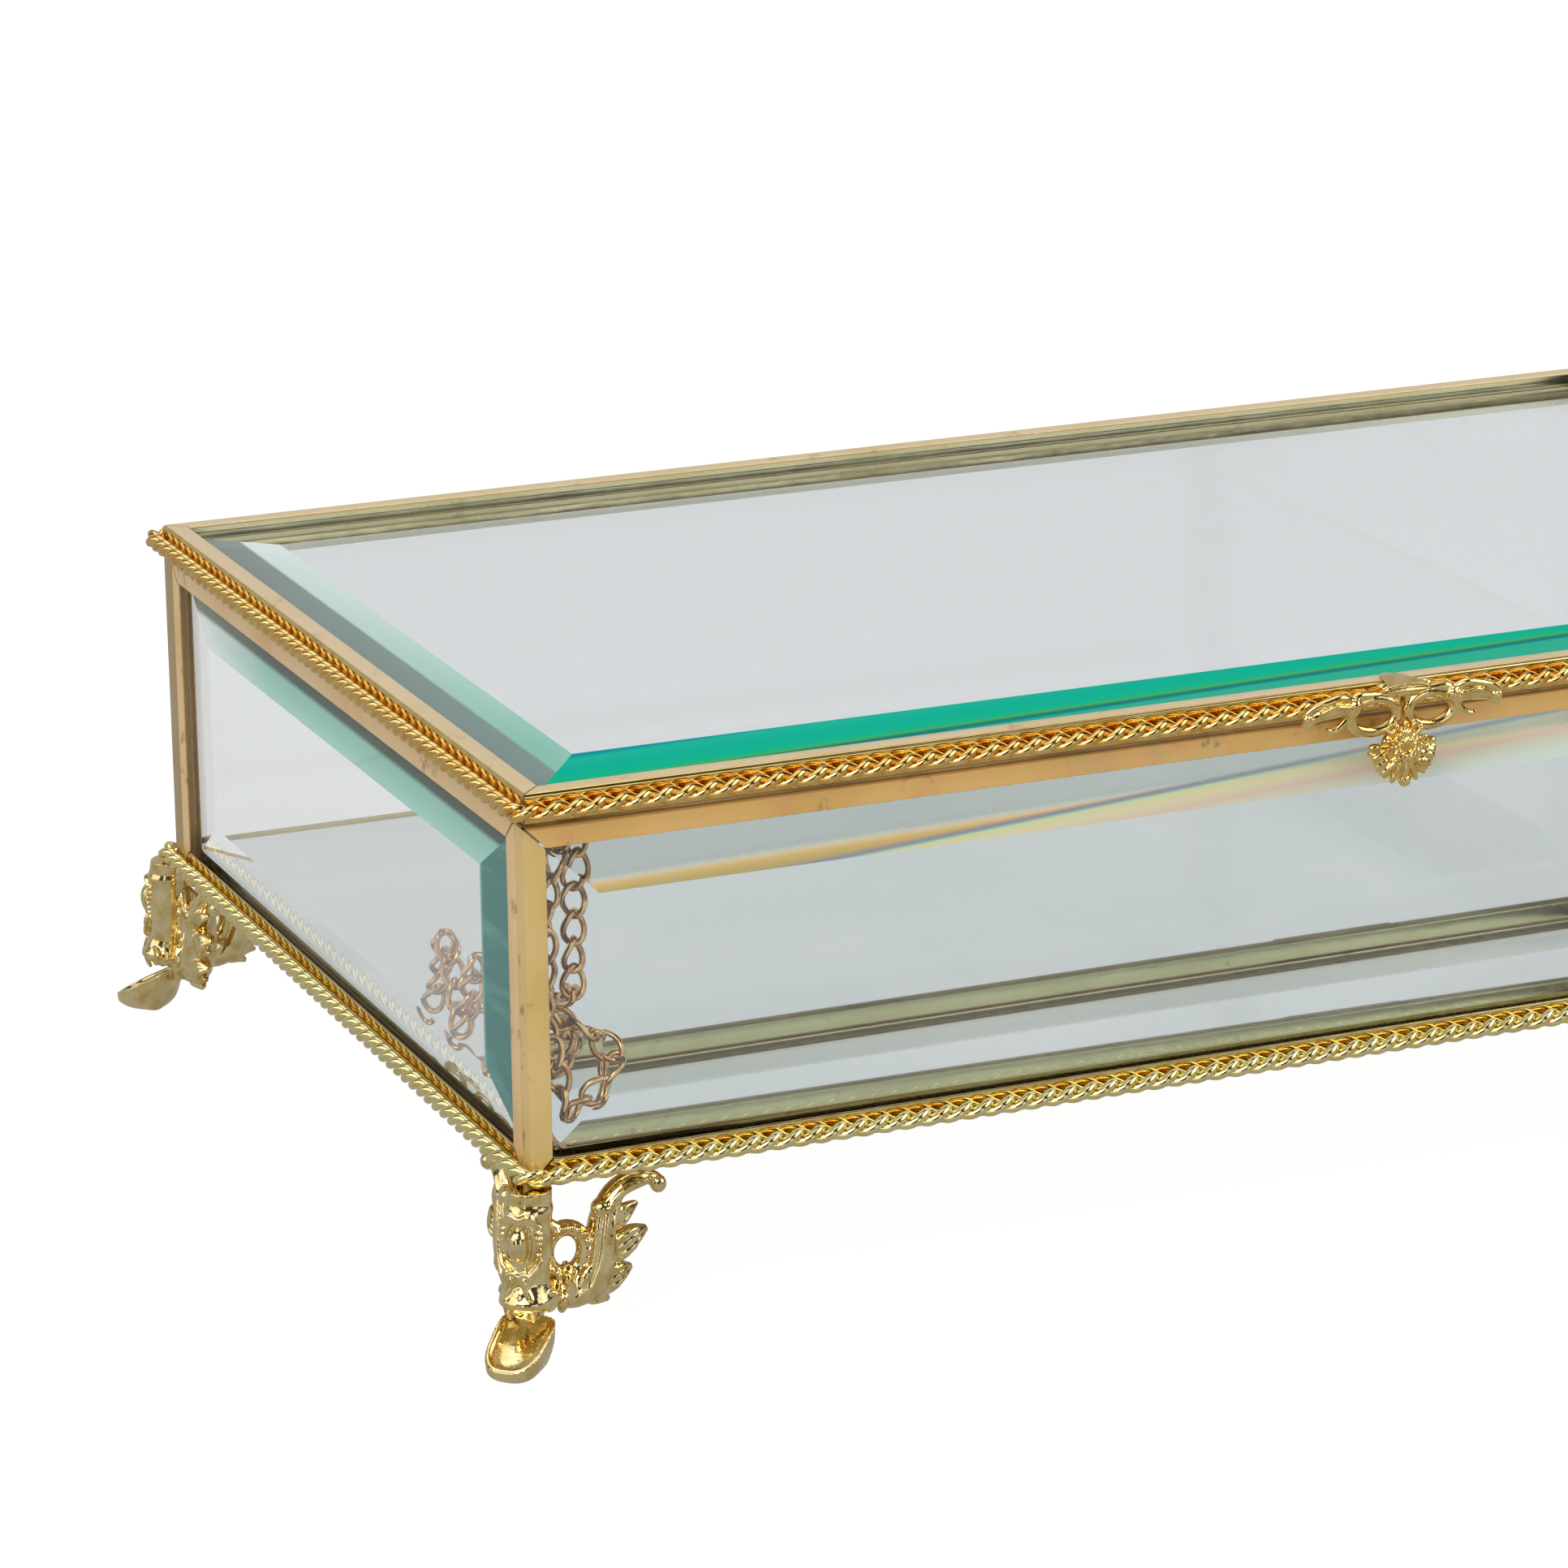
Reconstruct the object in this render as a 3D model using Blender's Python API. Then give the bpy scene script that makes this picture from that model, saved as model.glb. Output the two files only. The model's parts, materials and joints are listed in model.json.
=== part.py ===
"""Vanity trinket box: bevelled glass in folded brass channel, rope trim, cast feet, hinged lid, stay chain.

Metres, +Z up, +X to the right, the front towards -Y. The ground is Z = 0, and the origin is under the middle of the
box.
"""

import math

import bmesh
import bpy
from mathutils import Vector

# ---------------------------------------------------------------- driving dimensions

BOX_LENGTH = 0.2530          # over the brass, left to right
BOX_DEPTH = 0.1542           # over the brass, front to back
FRAME_BOTTOM = 0.0245        # underside of the body channels above the ground
BODY_HEIGHT = 0.0484         # body channels, underside to top
LID_SEAM = 0.0004            # air between the closed lid and the body
LID_HEIGHT = 0.0042          # lid channels, underside to top

TOUCH_GAP = 0.0003           # air between two pieces that touch
BRASS = 0.0004               # thickness of the folded brass sheet

BODY_CHANNEL = 0.0036        # body channel, across the glass
BODY_FLANGE = 0.0030         # body channel, how far a flange covers the glass
LID_FLANGE = 0.0032          # lid channel, how far a flange covers the glass

BEVEL_UPRIGHT_FRONT = 0.0105  # width of the bevel along the upright edges of the front and back panes
BEVEL_UPRIGHT_SIDE = 0.0150  # the same on the side panes
BEVEL_LEVEL = 0.0095         # width of the bevel along the top and bottom edges of the body panes
BEVEL_LID_SIDE = 0.0125      # width of the bevel along the short edges of the lid pane
BEVEL_LID_FRONT = 0.0160     # width of the bevel along the long edges of the lid pane
BEVEL_DROP = 0.0011          # how much thinner a pane is at its bevelled edge

MIRROR_THICKNESS = 0.0020
FELT_THICKNESS = 0.0007
BASE_PLATE_THICKNESS = 0.0006
BASE_PLATE_INSET = 0.0008    # base plate edge in from the outer face of the frame

ROPE_RADIUS = 0.0013
ROPE_CORNER = 0.0022         # bend radius of a rope's centre line
ROPE_LOWER_DROP = 0.0018     # lower rope's centre below the top edge of the bottom rails
ROPE_TAIL = 0.0090           # how far the lid rope runs on along the back

FOOT_NECK = 0.0031           # half width of the neck
FOOT_WING_REACH = 0.0196     # corner to the curled tip of a wing
FOOT_WING_THICKNESS = 0.0020
TOE_REACH = 0.0042           # corner to the middle of the toe, along X and along Y
TOE_LENGTH = 0.0047          # half length of the toe, along the diagonal
TOE_WIDTH = 0.0043           # half width of the toe
TOE_RIM = (0.0020, 0.0068)   # height of the toe's rim at the tip and under the neck
NECK_SIDES = 12
NECK_SECTIONS = (            # height and radius as shares, and how far each section leans outwards
    (1.00, 1.00, 0.0009),
    (0.90, 1.08, 0.0010),
    (0.76, 1.12, 0.0011),
    (0.52, 1.05, 0.0014),
    (0.40, 1.15, 0.0018),
    (0.24, 0.75, 0.0020),
    (0.14, 0.50, 0.0022),
)
TOE_SIDES = 16
TOE_LEVELS = (               # height and spread of the toe as shares, from the sole to the rim
    (0.0, 0.45), (0.10, 0.66), (0.35, 0.90), (0.75, 1.0), (1.0, 0.94),
)
# the wing's outline as shares of its reach and of the foot's height: below, the curled tip's centre, above
WING_BELOW = ((0.0, 0.28), (0.26, 0.27), (0.49, 0.32), (0.67, 0.45), (0.78, 0.65), (0.70, 0.80), (0.80, 0.84))
WING_CURL = (0.90, 0.90)
WING_CURL_SIZE = 0.10
WING_CURL_TURN = (-70, 110)
WING_ABOVE = ((0.66, 0.99), (0.54, 0.92), (0.45, 0.86), (0.43, 0.76), (0.37, 0.70), (0.29, 0.80), (0.21, 0.84),
              (0.0, 0.80))
WING_OPENING = ((0.13, 0.59), (0.21, 0.55), (0.30, 0.58), (0.25, 0.70))

LIFT_CLEARANCE = 0.0004      # front of the rope to the back of the lift
LIFT_THICKNESS = 0.0018
LIFT_RING = (0.0034, 0.0031)  # half width and half height of a ring
LIFT_RING_WALL = 0.0011
LIFT_WING_REACH = 0.0152     # middle of the lift to the tip of a wing
LIFT_DROP = 0.0132           # top of the lid to the tip of the hanging flower
LIFT_RISE = 0.0007           # top of the bridge above the lid
LIFT_BRIDGE = (0.0080, 0.0012)  # half length of the bridge, and how far it hangs below the top of the lid
LIFT_RING_SPREAD = 0.0010    # inner edge of a ring from the middle of the lift
LIFT_RING_LOWER = 0.0002     # top of a ring below the top of the lid
LIFT_TONGUE = 0.0028         # half width of the tongue soldered over the lid channel
LIFT_TONGUE_BITE = 0.0005    # how far the tongue runs on into the bridge
LIFT_TONGUE_MARGIN = 0.0008  # end of the tongue in from the inner edge of the channel
RING_SIDES = 16
HOLE_SIDES = 12
# outlines of a lift wing and of half the flower: distance from the middle, and distance below the lid's top
LIFT_WING = ((0.0074, 0.0036), (0.0100, 0.0044), (0.0126, 0.0028), (LIFT_WING_REACH, 0.0030),
             (LIFT_WING_REACH - 0.0006, 0.0008), (0.0120, 0.0), (0.0074, 0.0002))
LIFT_FLOWER = ((0.0012, 0.0040), (0.0040, 0.0066), (0.0050, 0.0085), (0.0036, LIFT_DROP - 0.0030),
               (0.0016, LIFT_DROP - 0.0018))

HINGE_SPACING = 0.1500       # between the middles of the two hinges
HINGE_LENGTH = 0.0220
HINGE_KNUCKLES = 5
KNUCKLE_RADIUS = 0.0015
KNUCKLE_WRAP = 300           # how far round the pin a leaf is rolled, in degrees
KNUCKLE_STEPS = 16
LEAF_THICKNESS = 0.0006
LEAF_STEM = 0.0006           # how far a knuckle runs on over its leaf
PIN_RADIUS = 0.0006
PIN_OVERHANG = 0.0003        # pin beyond the last knuckle
BODY_LEAF_HEIGHT = 0.0031    # axis to the edge of the body leaf, which stays on the channel, clear of the glass
LID_LEAF_HEIGHT = 0.0038

EYE_RADIUS = 0.0011          # soldered eyes of the stay chain, to the middle of the wire
EYE_WIRE = 0.0004
EYE_TAB = 0.0008             # half width of an eye's tab
BODY_EYE_INSET = 0.0030      # body eye in from the inner face of the front channel
BODY_EYE_DROP = 0.0019       # body eye below the top of the body
LID_EYE_SPACING = 0.0056     # lid eye behind the body eye
LID_EYE_DROP = 0.0016        # lid eye below the underside of the lid
CHAIN_INSET = 0.0042         # body eye in from the inner face of the side channel
CHAIN_SIDE_STEP = 0.0038     # lid end of the chain further in than its body end

STAY_DROP_LINKS = 3          # links straight down from the body eye
STAY_HEAP_LINKS = 8          # links folded to and fro along the floor
STAY_RETURN_LINKS = 3        # links back over the heap
STAY_RISE_LINKS = 2          # links up to the lid eye
STAY_FLOOR_GAP = 0.0033      # lowest pivot above the mirror
STAY_HEAP_HEIGHT = 0.0124
STAY_HEAP_PITCH = 0.0060     # how far each folded link moves along the side
STAY_RETURN_LIFT = 0.0020    # highest folded pivot to the corner of the run back
STAY_LINK_END = 0.0036       # pivot to the end of its link
STAY_LINK_HALF_WIDTH = 0.0017
STAY_WIRE = 0.0004
STAY_BEND_STEPS = 4          # sides in the half turn at each end of a link

EYE_SIDES = 12
EYE_WIRE_SIDES = 8
ARC_STEPS = 5                # sides in a quarter turn

# ---------------------------------------------------------------- derived places

HALF_LENGTH = BOX_LENGTH / 2
HALF_DEPTH = BOX_DEPTH / 2
BODY_TOP = FRAME_BOTTOM + BODY_HEIGHT
LID_BOTTOM = BODY_TOP + LID_SEAM
LID_TOP = LID_BOTTOM + LID_HEIGHT
RAIL_EDGE = FRAME_BOTTOM + BODY_FLANGE
BODY_GLASS = BODY_CHANNEL - 2 * BRASS - 2 * TOUCH_GAP
LID_GLASS = LID_HEIGHT - 2 * BRASS - 2 * TOUCH_GAP
INNER_X = HALF_LENGTH - BODY_CHANNEL
INNER_Y = HALF_DEPTH - BODY_CHANNEL
BASE_PLATE_TOP = FRAME_BOTTOM - TOUCH_GAP
BASE_PLATE_BOTTOM = BASE_PLATE_TOP - BASE_PLATE_THICKNESS
FOOT_TOP = BASE_PLATE_BOTTOM - TOUCH_GAP
ROPE_OFFSET = ROPE_RADIUS + TOUCH_GAP
ROPE_LOWER_Z = RAIL_EDGE - ROPE_LOWER_DROP
LIFT_STANDOFF = ROPE_OFFSET + ROPE_RADIUS + LIFT_CLEARANCE
ROPE_LID_Z = LID_BOTTOM + LID_HEIGHT / 2
HINGE_Y = HALF_DEPTH + TOUCH_GAP + KNUCKLE_RADIUS
HINGE_Z = BODY_TOP + LID_SEAM / 2
HINGE_AXIS = Vector((0.0, HINGE_Y, HINGE_Z))

BRASS_COLOUR = (0.72, 0.52, 0.30, 1.0)
GOLD_COLOUR = (0.78, 0.62, 0.33, 1.0)
OLD_GOLD_COLOUR = (0.50, 0.38, 0.22, 1.0)
GLASS_COLOUR = (0.80, 0.88, 0.86, 1.0)
MIRROR_COLOUR = (0.85, 0.87, 0.88, 1.0)
FELT_COLOUR = (0.12, 0.10, 0.09, 1.0)


# ---------------------------------------------------------------- helpers

def clear_scene():
    for thing in list(bpy.data.objects):
        bpy.data.objects.remove(thing, do_unlink=True)


def material(name, colour, metallic, roughness, transmission=0.0):
    made = bpy.data.materials.new(name)
    made.use_nodes = True
    shader = made.node_tree.nodes["Principled BSDF"]
    shader.inputs["Base Color"].default_value = colour
    shader.inputs["Metallic"].default_value = metallic
    shader.inputs["Roughness"].default_value = roughness
    shader.inputs["Transmission Weight"].default_value = transmission
    made.diffuse_color = colour
    return made


def add_object(name, mesh, finish):
    thing = bpy.data.objects.new(name, mesh)
    if not mesh.materials:
        mesh.materials.append(finish)
    bpy.context.collection.objects.link(thing)
    return thing


def mesh_object(name, vertices, faces, finish):
    """One closed mesh from vertices and faces, with its faces turned outwards."""
    shape = bmesh.new()
    corners = [shape.verts.new(v) for v in vertices]
    for face in faces:
        shape.faces.new([corners[i] for i in face])
    bmesh.ops.recalc_face_normals(shape, faces=shape.faces)
    mesh = bpy.data.meshes.new(name)
    shape.to_mesh(mesh)
    shape.free()
    return add_object(name, mesh, finish)


def loft(name, rings, finish):
    """Closed solid through rings of equal vertex count, with flat ends."""
    count = len(rings[0])
    vertices = [v for ring in rings for v in ring]
    faces = [tuple(range(count)), tuple(range(len(vertices) - count, len(vertices)))]
    for level in range(len(rings) - 1):
        first = level * count
        for i in range(count):
            j = (i + 1) % count
            faces.append((first + i, first + j, first + count + j, first + count + i))
    return mesh_object(name, vertices, faces, finish)


def block(name, low, high, finish):
    rings = [[(x, y, z) for x, y in ((low[0], low[1]), (high[0], low[1]), (high[0], high[1]), (low[0], high[1]))]
             for z in (low[2], high[2])]
    return loft(name, rings, finish)


def tube(name, points, radius, finish, closed=False):
    """Round wire along points."""
    curve = bpy.data.curves.new(name, "CURVE")
    curve.dimensions = "3D"
    curve.bevel_depth = radius
    curve.bevel_resolution = 2
    curve.use_fill_caps = True
    spline = curve.splines.new("POLY")
    spline.points.add(len(points) - 1)
    for point, place in zip(spline.points, points):
        point.co = (place[0], place[1], place[2], 1.0)
    spline.use_cyclic_u = closed
    curve.materials.append(finish)
    return add_object(name, curve, finish)


def arc(centre, radius, start, end, steps):
    """Points of a flat arc, angles in degrees, both ends included."""
    points = []
    for i in range(steps + 1):
        angle = math.radians(start + (end - start) * i / steps)
        points.append((centre[0] + radius * math.cos(angle), centre[1] + radius * math.sin(angle)))
    return points


def join_to(target, pieces):
    """Boolean union of pieces into target. The pieces stay as hidden cutters."""
    for piece in pieces:
        piece.hide_render = True
        piece.display_type = "WIRE"
        union = target.modifiers.new("union_" + piece.name, "BOOLEAN")
        union.operation = "UNION"
        union.solver = "EXACT"
        union.object = piece
    return target


def cut_from(target, cutters):
    """Boolean difference. The cutters stay hidden."""
    for cutter in cutters:
        cutter.hide_render = True
        cutter.display_type = "WIRE"
        cut = target.modifiers.new("cut_" + cutter.name, "BOOLEAN")
        cut.operation = "DIFFERENCE"
        cut.solver = "EXACT"
        cut.object = cutter
    return target


def hang_on(parent, thing):
    """Parent a piece whose mesh is in world coordinates, leaving it where it is."""
    thing.parent = parent
    thing.location = -parent.location
    return thing


# ---------------------------------------------------------------- glass and its channels

def channel(name, corner, along, inward, across, length, depth, flange, finish):
    """Folded brass channel with mitred ends, open towards inward.

    corner is the outer corner of the frame where the channel starts, along its length, across the glass.
    """
    profile = [(0, 0), (depth, 0), (depth, flange), (depth - BRASS, flange), (depth - BRASS, BRASS),
               (BRASS, BRASS), (BRASS, flange), (0, flange)]
    mitre_gap = TOUCH_GAP / math.sqrt(2)
    rings = []
    for side in (0, 1):
        ring = []
        for u, v in profile:
            w = v + mitre_gap if side == 0 else length - v - mitre_gap
            ring.append(corner + along * w + inward * v + across * u)
        rings.append(ring)
    return loft(name, rings, finish)


def channel_frame(prefix, names, corner, right, up, across, width, height, depth, flange, finish):
    """Four mitred channels round one pane: names are the bottom, top, left and right ones."""
    corners = (corner, corner + up * height, corner, corner + right * width)
    runs = ((right, up, width), (right, -up, width), (up, right, height), (up, -right, height))
    pieces = []
    for label, start, (along, inward, length) in zip(names, corners, runs):
        pieces.append(channel(prefix + label, start, along, inward, across, length, depth, flange, finish))
    return pieces


def bevelled_pane(name, corner, right, up, across, width, height, thickness, bevel_side, bevel_level, finish):
    """Pane with a ground bevel on its outer face. across points from the outer face inwards."""
    def level(inset_x, inset_y, depth):
        return [corner + right * x + up * y + across * depth
                for x, y in ((inset_x, inset_y), (width - inset_x, inset_y),
                             (width - inset_x, height - inset_y), (inset_x, height - inset_y))]
    rings = [level(bevel_side, bevel_level, 0.0), level(0.0, 0.0, BEVEL_DROP), level(0.0, 0.0, thickness)]
    return loft(name, rings, finish)


def build_panels(brass, glass):
    """The four glazed sides. The front and back frames run the full length, and the side frames fit between."""
    up = Vector((0, 0, 1))
    side_width = BOX_DEPTH - 2 * BODY_CHANNEL - 2 * TOUCH_GAP
    side_start = HALF_DEPTH - BODY_CHANNEL - TOUCH_GAP
    sides = (
        ("front", Vector((-HALF_LENGTH, -HALF_DEPTH, FRAME_BOTTOM)), Vector((1, 0, 0)), Vector((0, 1, 0)),
         BOX_LENGTH, BEVEL_UPRIGHT_FRONT),
        ("back", Vector((HALF_LENGTH, HALF_DEPTH, FRAME_BOTTOM)), Vector((-1, 0, 0)), Vector((0, -1, 0)),
         BOX_LENGTH, BEVEL_UPRIGHT_FRONT),
        ("left", Vector((-HALF_LENGTH, side_start, FRAME_BOTTOM)), Vector((0, -1, 0)), Vector((1, 0, 0)),
         side_width, BEVEL_UPRIGHT_SIDE),
        ("right", Vector((HALF_LENGTH, -side_start, FRAME_BOTTOM)), Vector((0, 1, 0)), Vector((-1, 0, 0)),
         side_width, BEVEL_UPRIGHT_SIDE),
    )
    names = ("_bottom_rail", "_top_rail", "_upright_1", "_upright_2")
    inset = BRASS + TOUCH_GAP
    for side, corner, right, across, width, bevel in sides:
        channel_frame(side, names, corner, right, up, across, width, BODY_HEIGHT, BODY_CHANNEL, BODY_FLANGE, brass)
        start = corner + right * inset + up * inset + across * inset
        bevelled_pane(side + "_glass", start, right, up, across, width - 2 * inset, BODY_HEIGHT - 2 * inset,
                      BODY_GLASS, bevel - inset, BEVEL_LEVEL, glass)


def build_floor(mirror, felt, brass):
    plate_x = HALF_LENGTH - BASE_PLATE_INSET
    plate_y = HALF_DEPTH - BASE_PLATE_INSET
    block("base_plate", (-plate_x, -plate_y, BASE_PLATE_BOTTOM), (plate_x, plate_y, BASE_PLATE_TOP), brass)
    floor_x = INNER_X - TOUCH_GAP
    floor_y = INNER_Y - TOUCH_GAP
    felt_top = FRAME_BOTTOM + FELT_THICKNESS
    block("mirror_felt_pad", (-floor_x, -floor_y, FRAME_BOTTOM), (floor_x, floor_y, felt_top), felt)
    mirror_bottom = felt_top + TOUCH_GAP
    block("mirror_floor", (-floor_x, -floor_y, mirror_bottom),
          (floor_x, floor_y, mirror_bottom + MIRROR_THICKNESS), mirror)


# ---------------------------------------------------------------- ropes

def rope_corner(sign_x, sign_y, start, height):
    """One rounded corner of a rope's centre line."""
    centre_x = HALF_LENGTH + ROPE_OFFSET - ROPE_CORNER
    centre_y = HALF_DEPTH + ROPE_OFFSET - ROPE_CORNER
    return [(x, y, height) for x, y in
            arc((sign_x * centre_x, sign_y * centre_y), ROPE_CORNER, start, start + 90, ARC_STEPS)]


def build_lower_rope(gold):
    route = []
    for sign_x, sign_y, start in ((1, 1, 0), (-1, 1, 90), (-1, -1, 180), (1, -1, 270)):
        route += rope_corner(sign_x, sign_y, start, ROPE_LOWER_Z)
    tube("lower_rope", route, ROPE_RADIUS, gold, closed=True)


def build_lid_rope(gold):
    """The lid rope runs along the front and sides and ends a little way round the back corners."""
    back = HALF_DEPTH + ROPE_OFFSET
    end = HALF_LENGTH - ROPE_TAIL
    route = [(-end, back, ROPE_LID_Z)]
    for sign_x, sign_y, start in ((-1, 1, 90), (-1, -1, 180), (1, -1, 270), (1, 1, 0)):
        route += rope_corner(sign_x, sign_y, start, ROPE_LID_Z)
    route.append((end, back, ROPE_LID_Z))
    return tube("lid_rope", route, ROPE_RADIUS, gold)


# ---------------------------------------------------------------- feet

def foot_neck(gold):
    """Column that starts square under the corner and leans outwards towards the toe."""
    rings = []
    for height, spread, lean in NECK_SECTIONS:
        middle = (-HALF_LENGTH - lean, -HALF_DEPTH - lean)
        around = arc(middle, FOOT_NECK * spread, 0, 360 - 360 / NECK_SIDES, NECK_SIDES - 1)
        rings.append([(x, y, FOOT_TOP * height) for x, y in around])
    return loft("foot_neck", rings, gold)


def foot_toe(gold):
    """Spoon-shaped toe: a flattened egg along the diagonal, flat below, its rim sloping down to the tip."""
    low, high = TOE_RIM
    rings = []
    for share, spread in TOE_LEVELS:
        ring = []
        for i in range(TOE_SIDES):
            angle = 2 * math.pi * i / TOE_SIDES
            diagonal = math.cos(angle) * TOE_LENGTH * spread / math.sqrt(2)
            cross = math.sin(angle) * TOE_WIDTH * spread / math.sqrt(2)
            rim = high + (low - high) * (1 + math.cos(angle) * spread) / 2
            ring.append((-HALF_LENGTH - TOE_REACH - diagonal + cross, -HALF_DEPTH - TOE_REACH - diagonal - cross,
                         share * rim))
        rings.append(ring)
    return loft("foot_toe", rings, gold)


def wing_shares(shares):
    """Points of a wing from shares of its reach and of the foot's height."""
    return [(FOOT_WING_REACH * s, FOOT_TOP * z) for s, z in shares]


def wing_outline():
    """Openwork wing, distance from the corner and height: a crescent that rises to a curled tip."""
    curl = arc(wing_shares([WING_CURL])[0], FOOT_WING_REACH * WING_CURL_SIZE, *WING_CURL_TURN, ARC_STEPS + 1)
    return wing_shares(WING_BELOW) + curl + wing_shares(WING_ABOVE)


def foot_wing(name, along_x, gold):
    """One wing as a plate under the frame's edge, flush with the frame's outer face."""
    rings = []
    for depth in (0.0, FOOT_WING_THICKNESS):
        if along_x:
            ring = [(-HALF_LENGTH + s, -HALF_DEPTH + depth, z) for s, z in wing_outline()]
        else:
            ring = [(-HALF_LENGTH + depth, -HALF_DEPTH + s, z) for s, z in wing_outline()]
        rings.append(ring)
    return loft(name, rings, gold)


def foot_wing_hole(name, along_x, gold):
    """Heart-shaped opening through a wing."""
    outline = wing_shares(WING_OPENING)
    rings = []
    for depth in (-FOOT_WING_THICKNESS, 2 * FOOT_WING_THICKNESS):
        if along_x:
            ring = [(-HALF_LENGTH + s, -HALF_DEPTH + depth, z) for s, z in outline]
        else:
            ring = [(-HALF_LENGTH + depth, -HALF_DEPTH + s, z) for s, z in outline]
        rings.append(ring)
    return loft(name, rings, gold)


def build_feet(gold):
    """One foot is modelled for the front left corner and mirrored to the other three."""
    pattern = foot_neck(gold)
    wings = [foot_wing("foot_wing_front", True, gold), foot_wing("foot_wing_side", False, gold)]
    holes = [foot_wing_hole("foot_hole_front", True, gold), foot_wing_hole("foot_hole_side", False, gold)]
    join_to(pattern, [foot_toe(gold)] + wings)
    cut_from(pattern, holes)
    pattern.hide_render = True
    pattern.display_type = "WIRE"
    bpy.context.view_layer.update()
    cast = pattern.evaluated_get(bpy.context.evaluated_depsgraph_get()).to_mesh()
    corners = (("front_left", 1, 1), ("front_right", -1, 1), ("back_left", 1, -1), ("back_right", -1, -1))
    for place, flip_x, flip_y in corners:
        shape = bmesh.new()
        shape.from_mesh(cast)
        for vertex in shape.verts:
            vertex.co.x *= flip_x
            vertex.co.y *= flip_y
        if flip_x * flip_y < 0:
            bmesh.ops.reverse_faces(shape, faces=shape.faces)
        mesh = bpy.data.meshes.new("foot_" + place)
        shape.to_mesh(mesh)
        shape.free()
        add_object("foot_" + place, mesh, gold)


# ---------------------------------------------------------------- lid

def build_lid_frame(brass, glass):
    corner = Vector((-HALF_LENGTH, -HALF_DEPTH, LID_TOP))
    right = Vector((1, 0, 0))
    back = Vector((0, 1, 0))
    down = Vector((0, 0, -1))
    names = ("_front_rail", "_back_rail", "_left_rail", "_right_rail")
    pieces = channel_frame("lid", names, corner, right, back, down, BOX_LENGTH, BOX_DEPTH,
                           LID_HEIGHT, LID_FLANGE, brass)
    inset = BRASS + TOUCH_GAP
    start = corner + right * inset + back * inset + down * inset
    pieces.append(bevelled_pane("lid_glass", start, right, back, down, BOX_LENGTH - 2 * inset,
                                BOX_DEPTH - 2 * inset, LID_GLASS, BEVEL_LID_SIDE, BEVEL_LID_FRONT, glass))
    return pieces


def oval(centre_x, centre_z, half_width, half_height, count):
    """Points of an upright oval in front of the lid."""
    return [(centre_x + half_width * math.cos(2 * math.pi * i / count),
             centre_z + half_height * math.sin(2 * math.pi * i / count)) for i in range(count)]


def lift_plate(name, outline, near, far, finish):
    """Flat piece of the lift: an outline of X and Z between two distances in front of the lid."""
    rings = [[(x, -HALF_DEPTH - depth, z) for x, z in outline] for depth in (near, far)]
    return loft(name, rings, finish)


def build_lift(gold):
    """Cast lift: a bridge over the rope, two open rings, two scroll wings and a hanging flower."""
    near = LIFT_STANDOFF
    far = near + LIFT_THICKNESS
    half_width, half_height = LIFT_RING
    ring_z = LID_TOP - half_height - LIFT_RING_LOWER
    ring_x = half_width + LIFT_RING_SPREAD
    bridge_top = LID_TOP + LIFT_RISE
    reach, hang = LIFT_BRIDGE
    bridge = [(-reach, LID_TOP - hang), (reach, LID_TOP - hang), (reach, bridge_top), (-reach, bridge_top)]
    lift = lift_plate("lid_lift", bridge, near, far, gold)
    pieces = []
    holes = []
    for side, sign in (("left", -1), ("right", 1)):
        ring = oval(sign * ring_x, ring_z, half_width, half_height, RING_SIDES)
        pieces.append(lift_plate("lift_ring_" + side, ring, near, far, gold))
        hole = oval(sign * ring_x, ring_z, half_width - LIFT_RING_WALL, half_height - LIFT_RING_WALL, HOLE_SIDES)
        holes.append(lift_plate("lift_hole_" + side, hole, near - TOUCH_GAP, far + TOUCH_GAP, gold))
        wing = [(sign * x, LID_TOP - z) for x, z in LIFT_WING]
        pieces.append(lift_plate("lift_wing_" + side, wing, near, far, gold))
    half_flower = [(x, LID_TOP - z) for x, z in LIFT_FLOWER]
    flower = half_flower + [(0.0, LID_TOP - LIFT_DROP)] + [(-x, z) for x, z in reversed(half_flower)]
    pieces.append(lift_plate("lift_flower", flower, near, far, gold))
    pieces.append(block("lift_tongue", (-LIFT_TONGUE, -HALF_DEPTH - near - LIFT_TONGUE_BITE, LID_TOP + TOUCH_GAP),
                        (LIFT_TONGUE, -HALF_DEPTH + LID_FLANGE - LIFT_TONGUE_MARGIN, bridge_top), gold))
    join_to(lift, pieces)
    return cut_from(lift, holes)


# ---------------------------------------------------------------- hinges

def knuckle_outline(way):
    """Section of a leaf rolled round the pin, Y and Z from the axis: way is -1 below the seam, 1 above it."""
    inner = KNUCKLE_RADIUS - LEAF_THICKNESS
    stem = way * (KNUCKLE_RADIUS + TOUCH_GAP + LEAF_STEM)
    turn = 180 + way * KNUCKLE_WRAP
    outer_arc = arc((0, 0), KNUCKLE_RADIUS, 180, turn, KNUCKLE_STEPS)
    inner_arc = arc((0, 0), inner, turn, 180, KNUCKLE_STEPS)
    return [(-KNUCKLE_RADIUS, stem)] + outer_arc + inner_arc + [(-inner, stem)]


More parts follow.
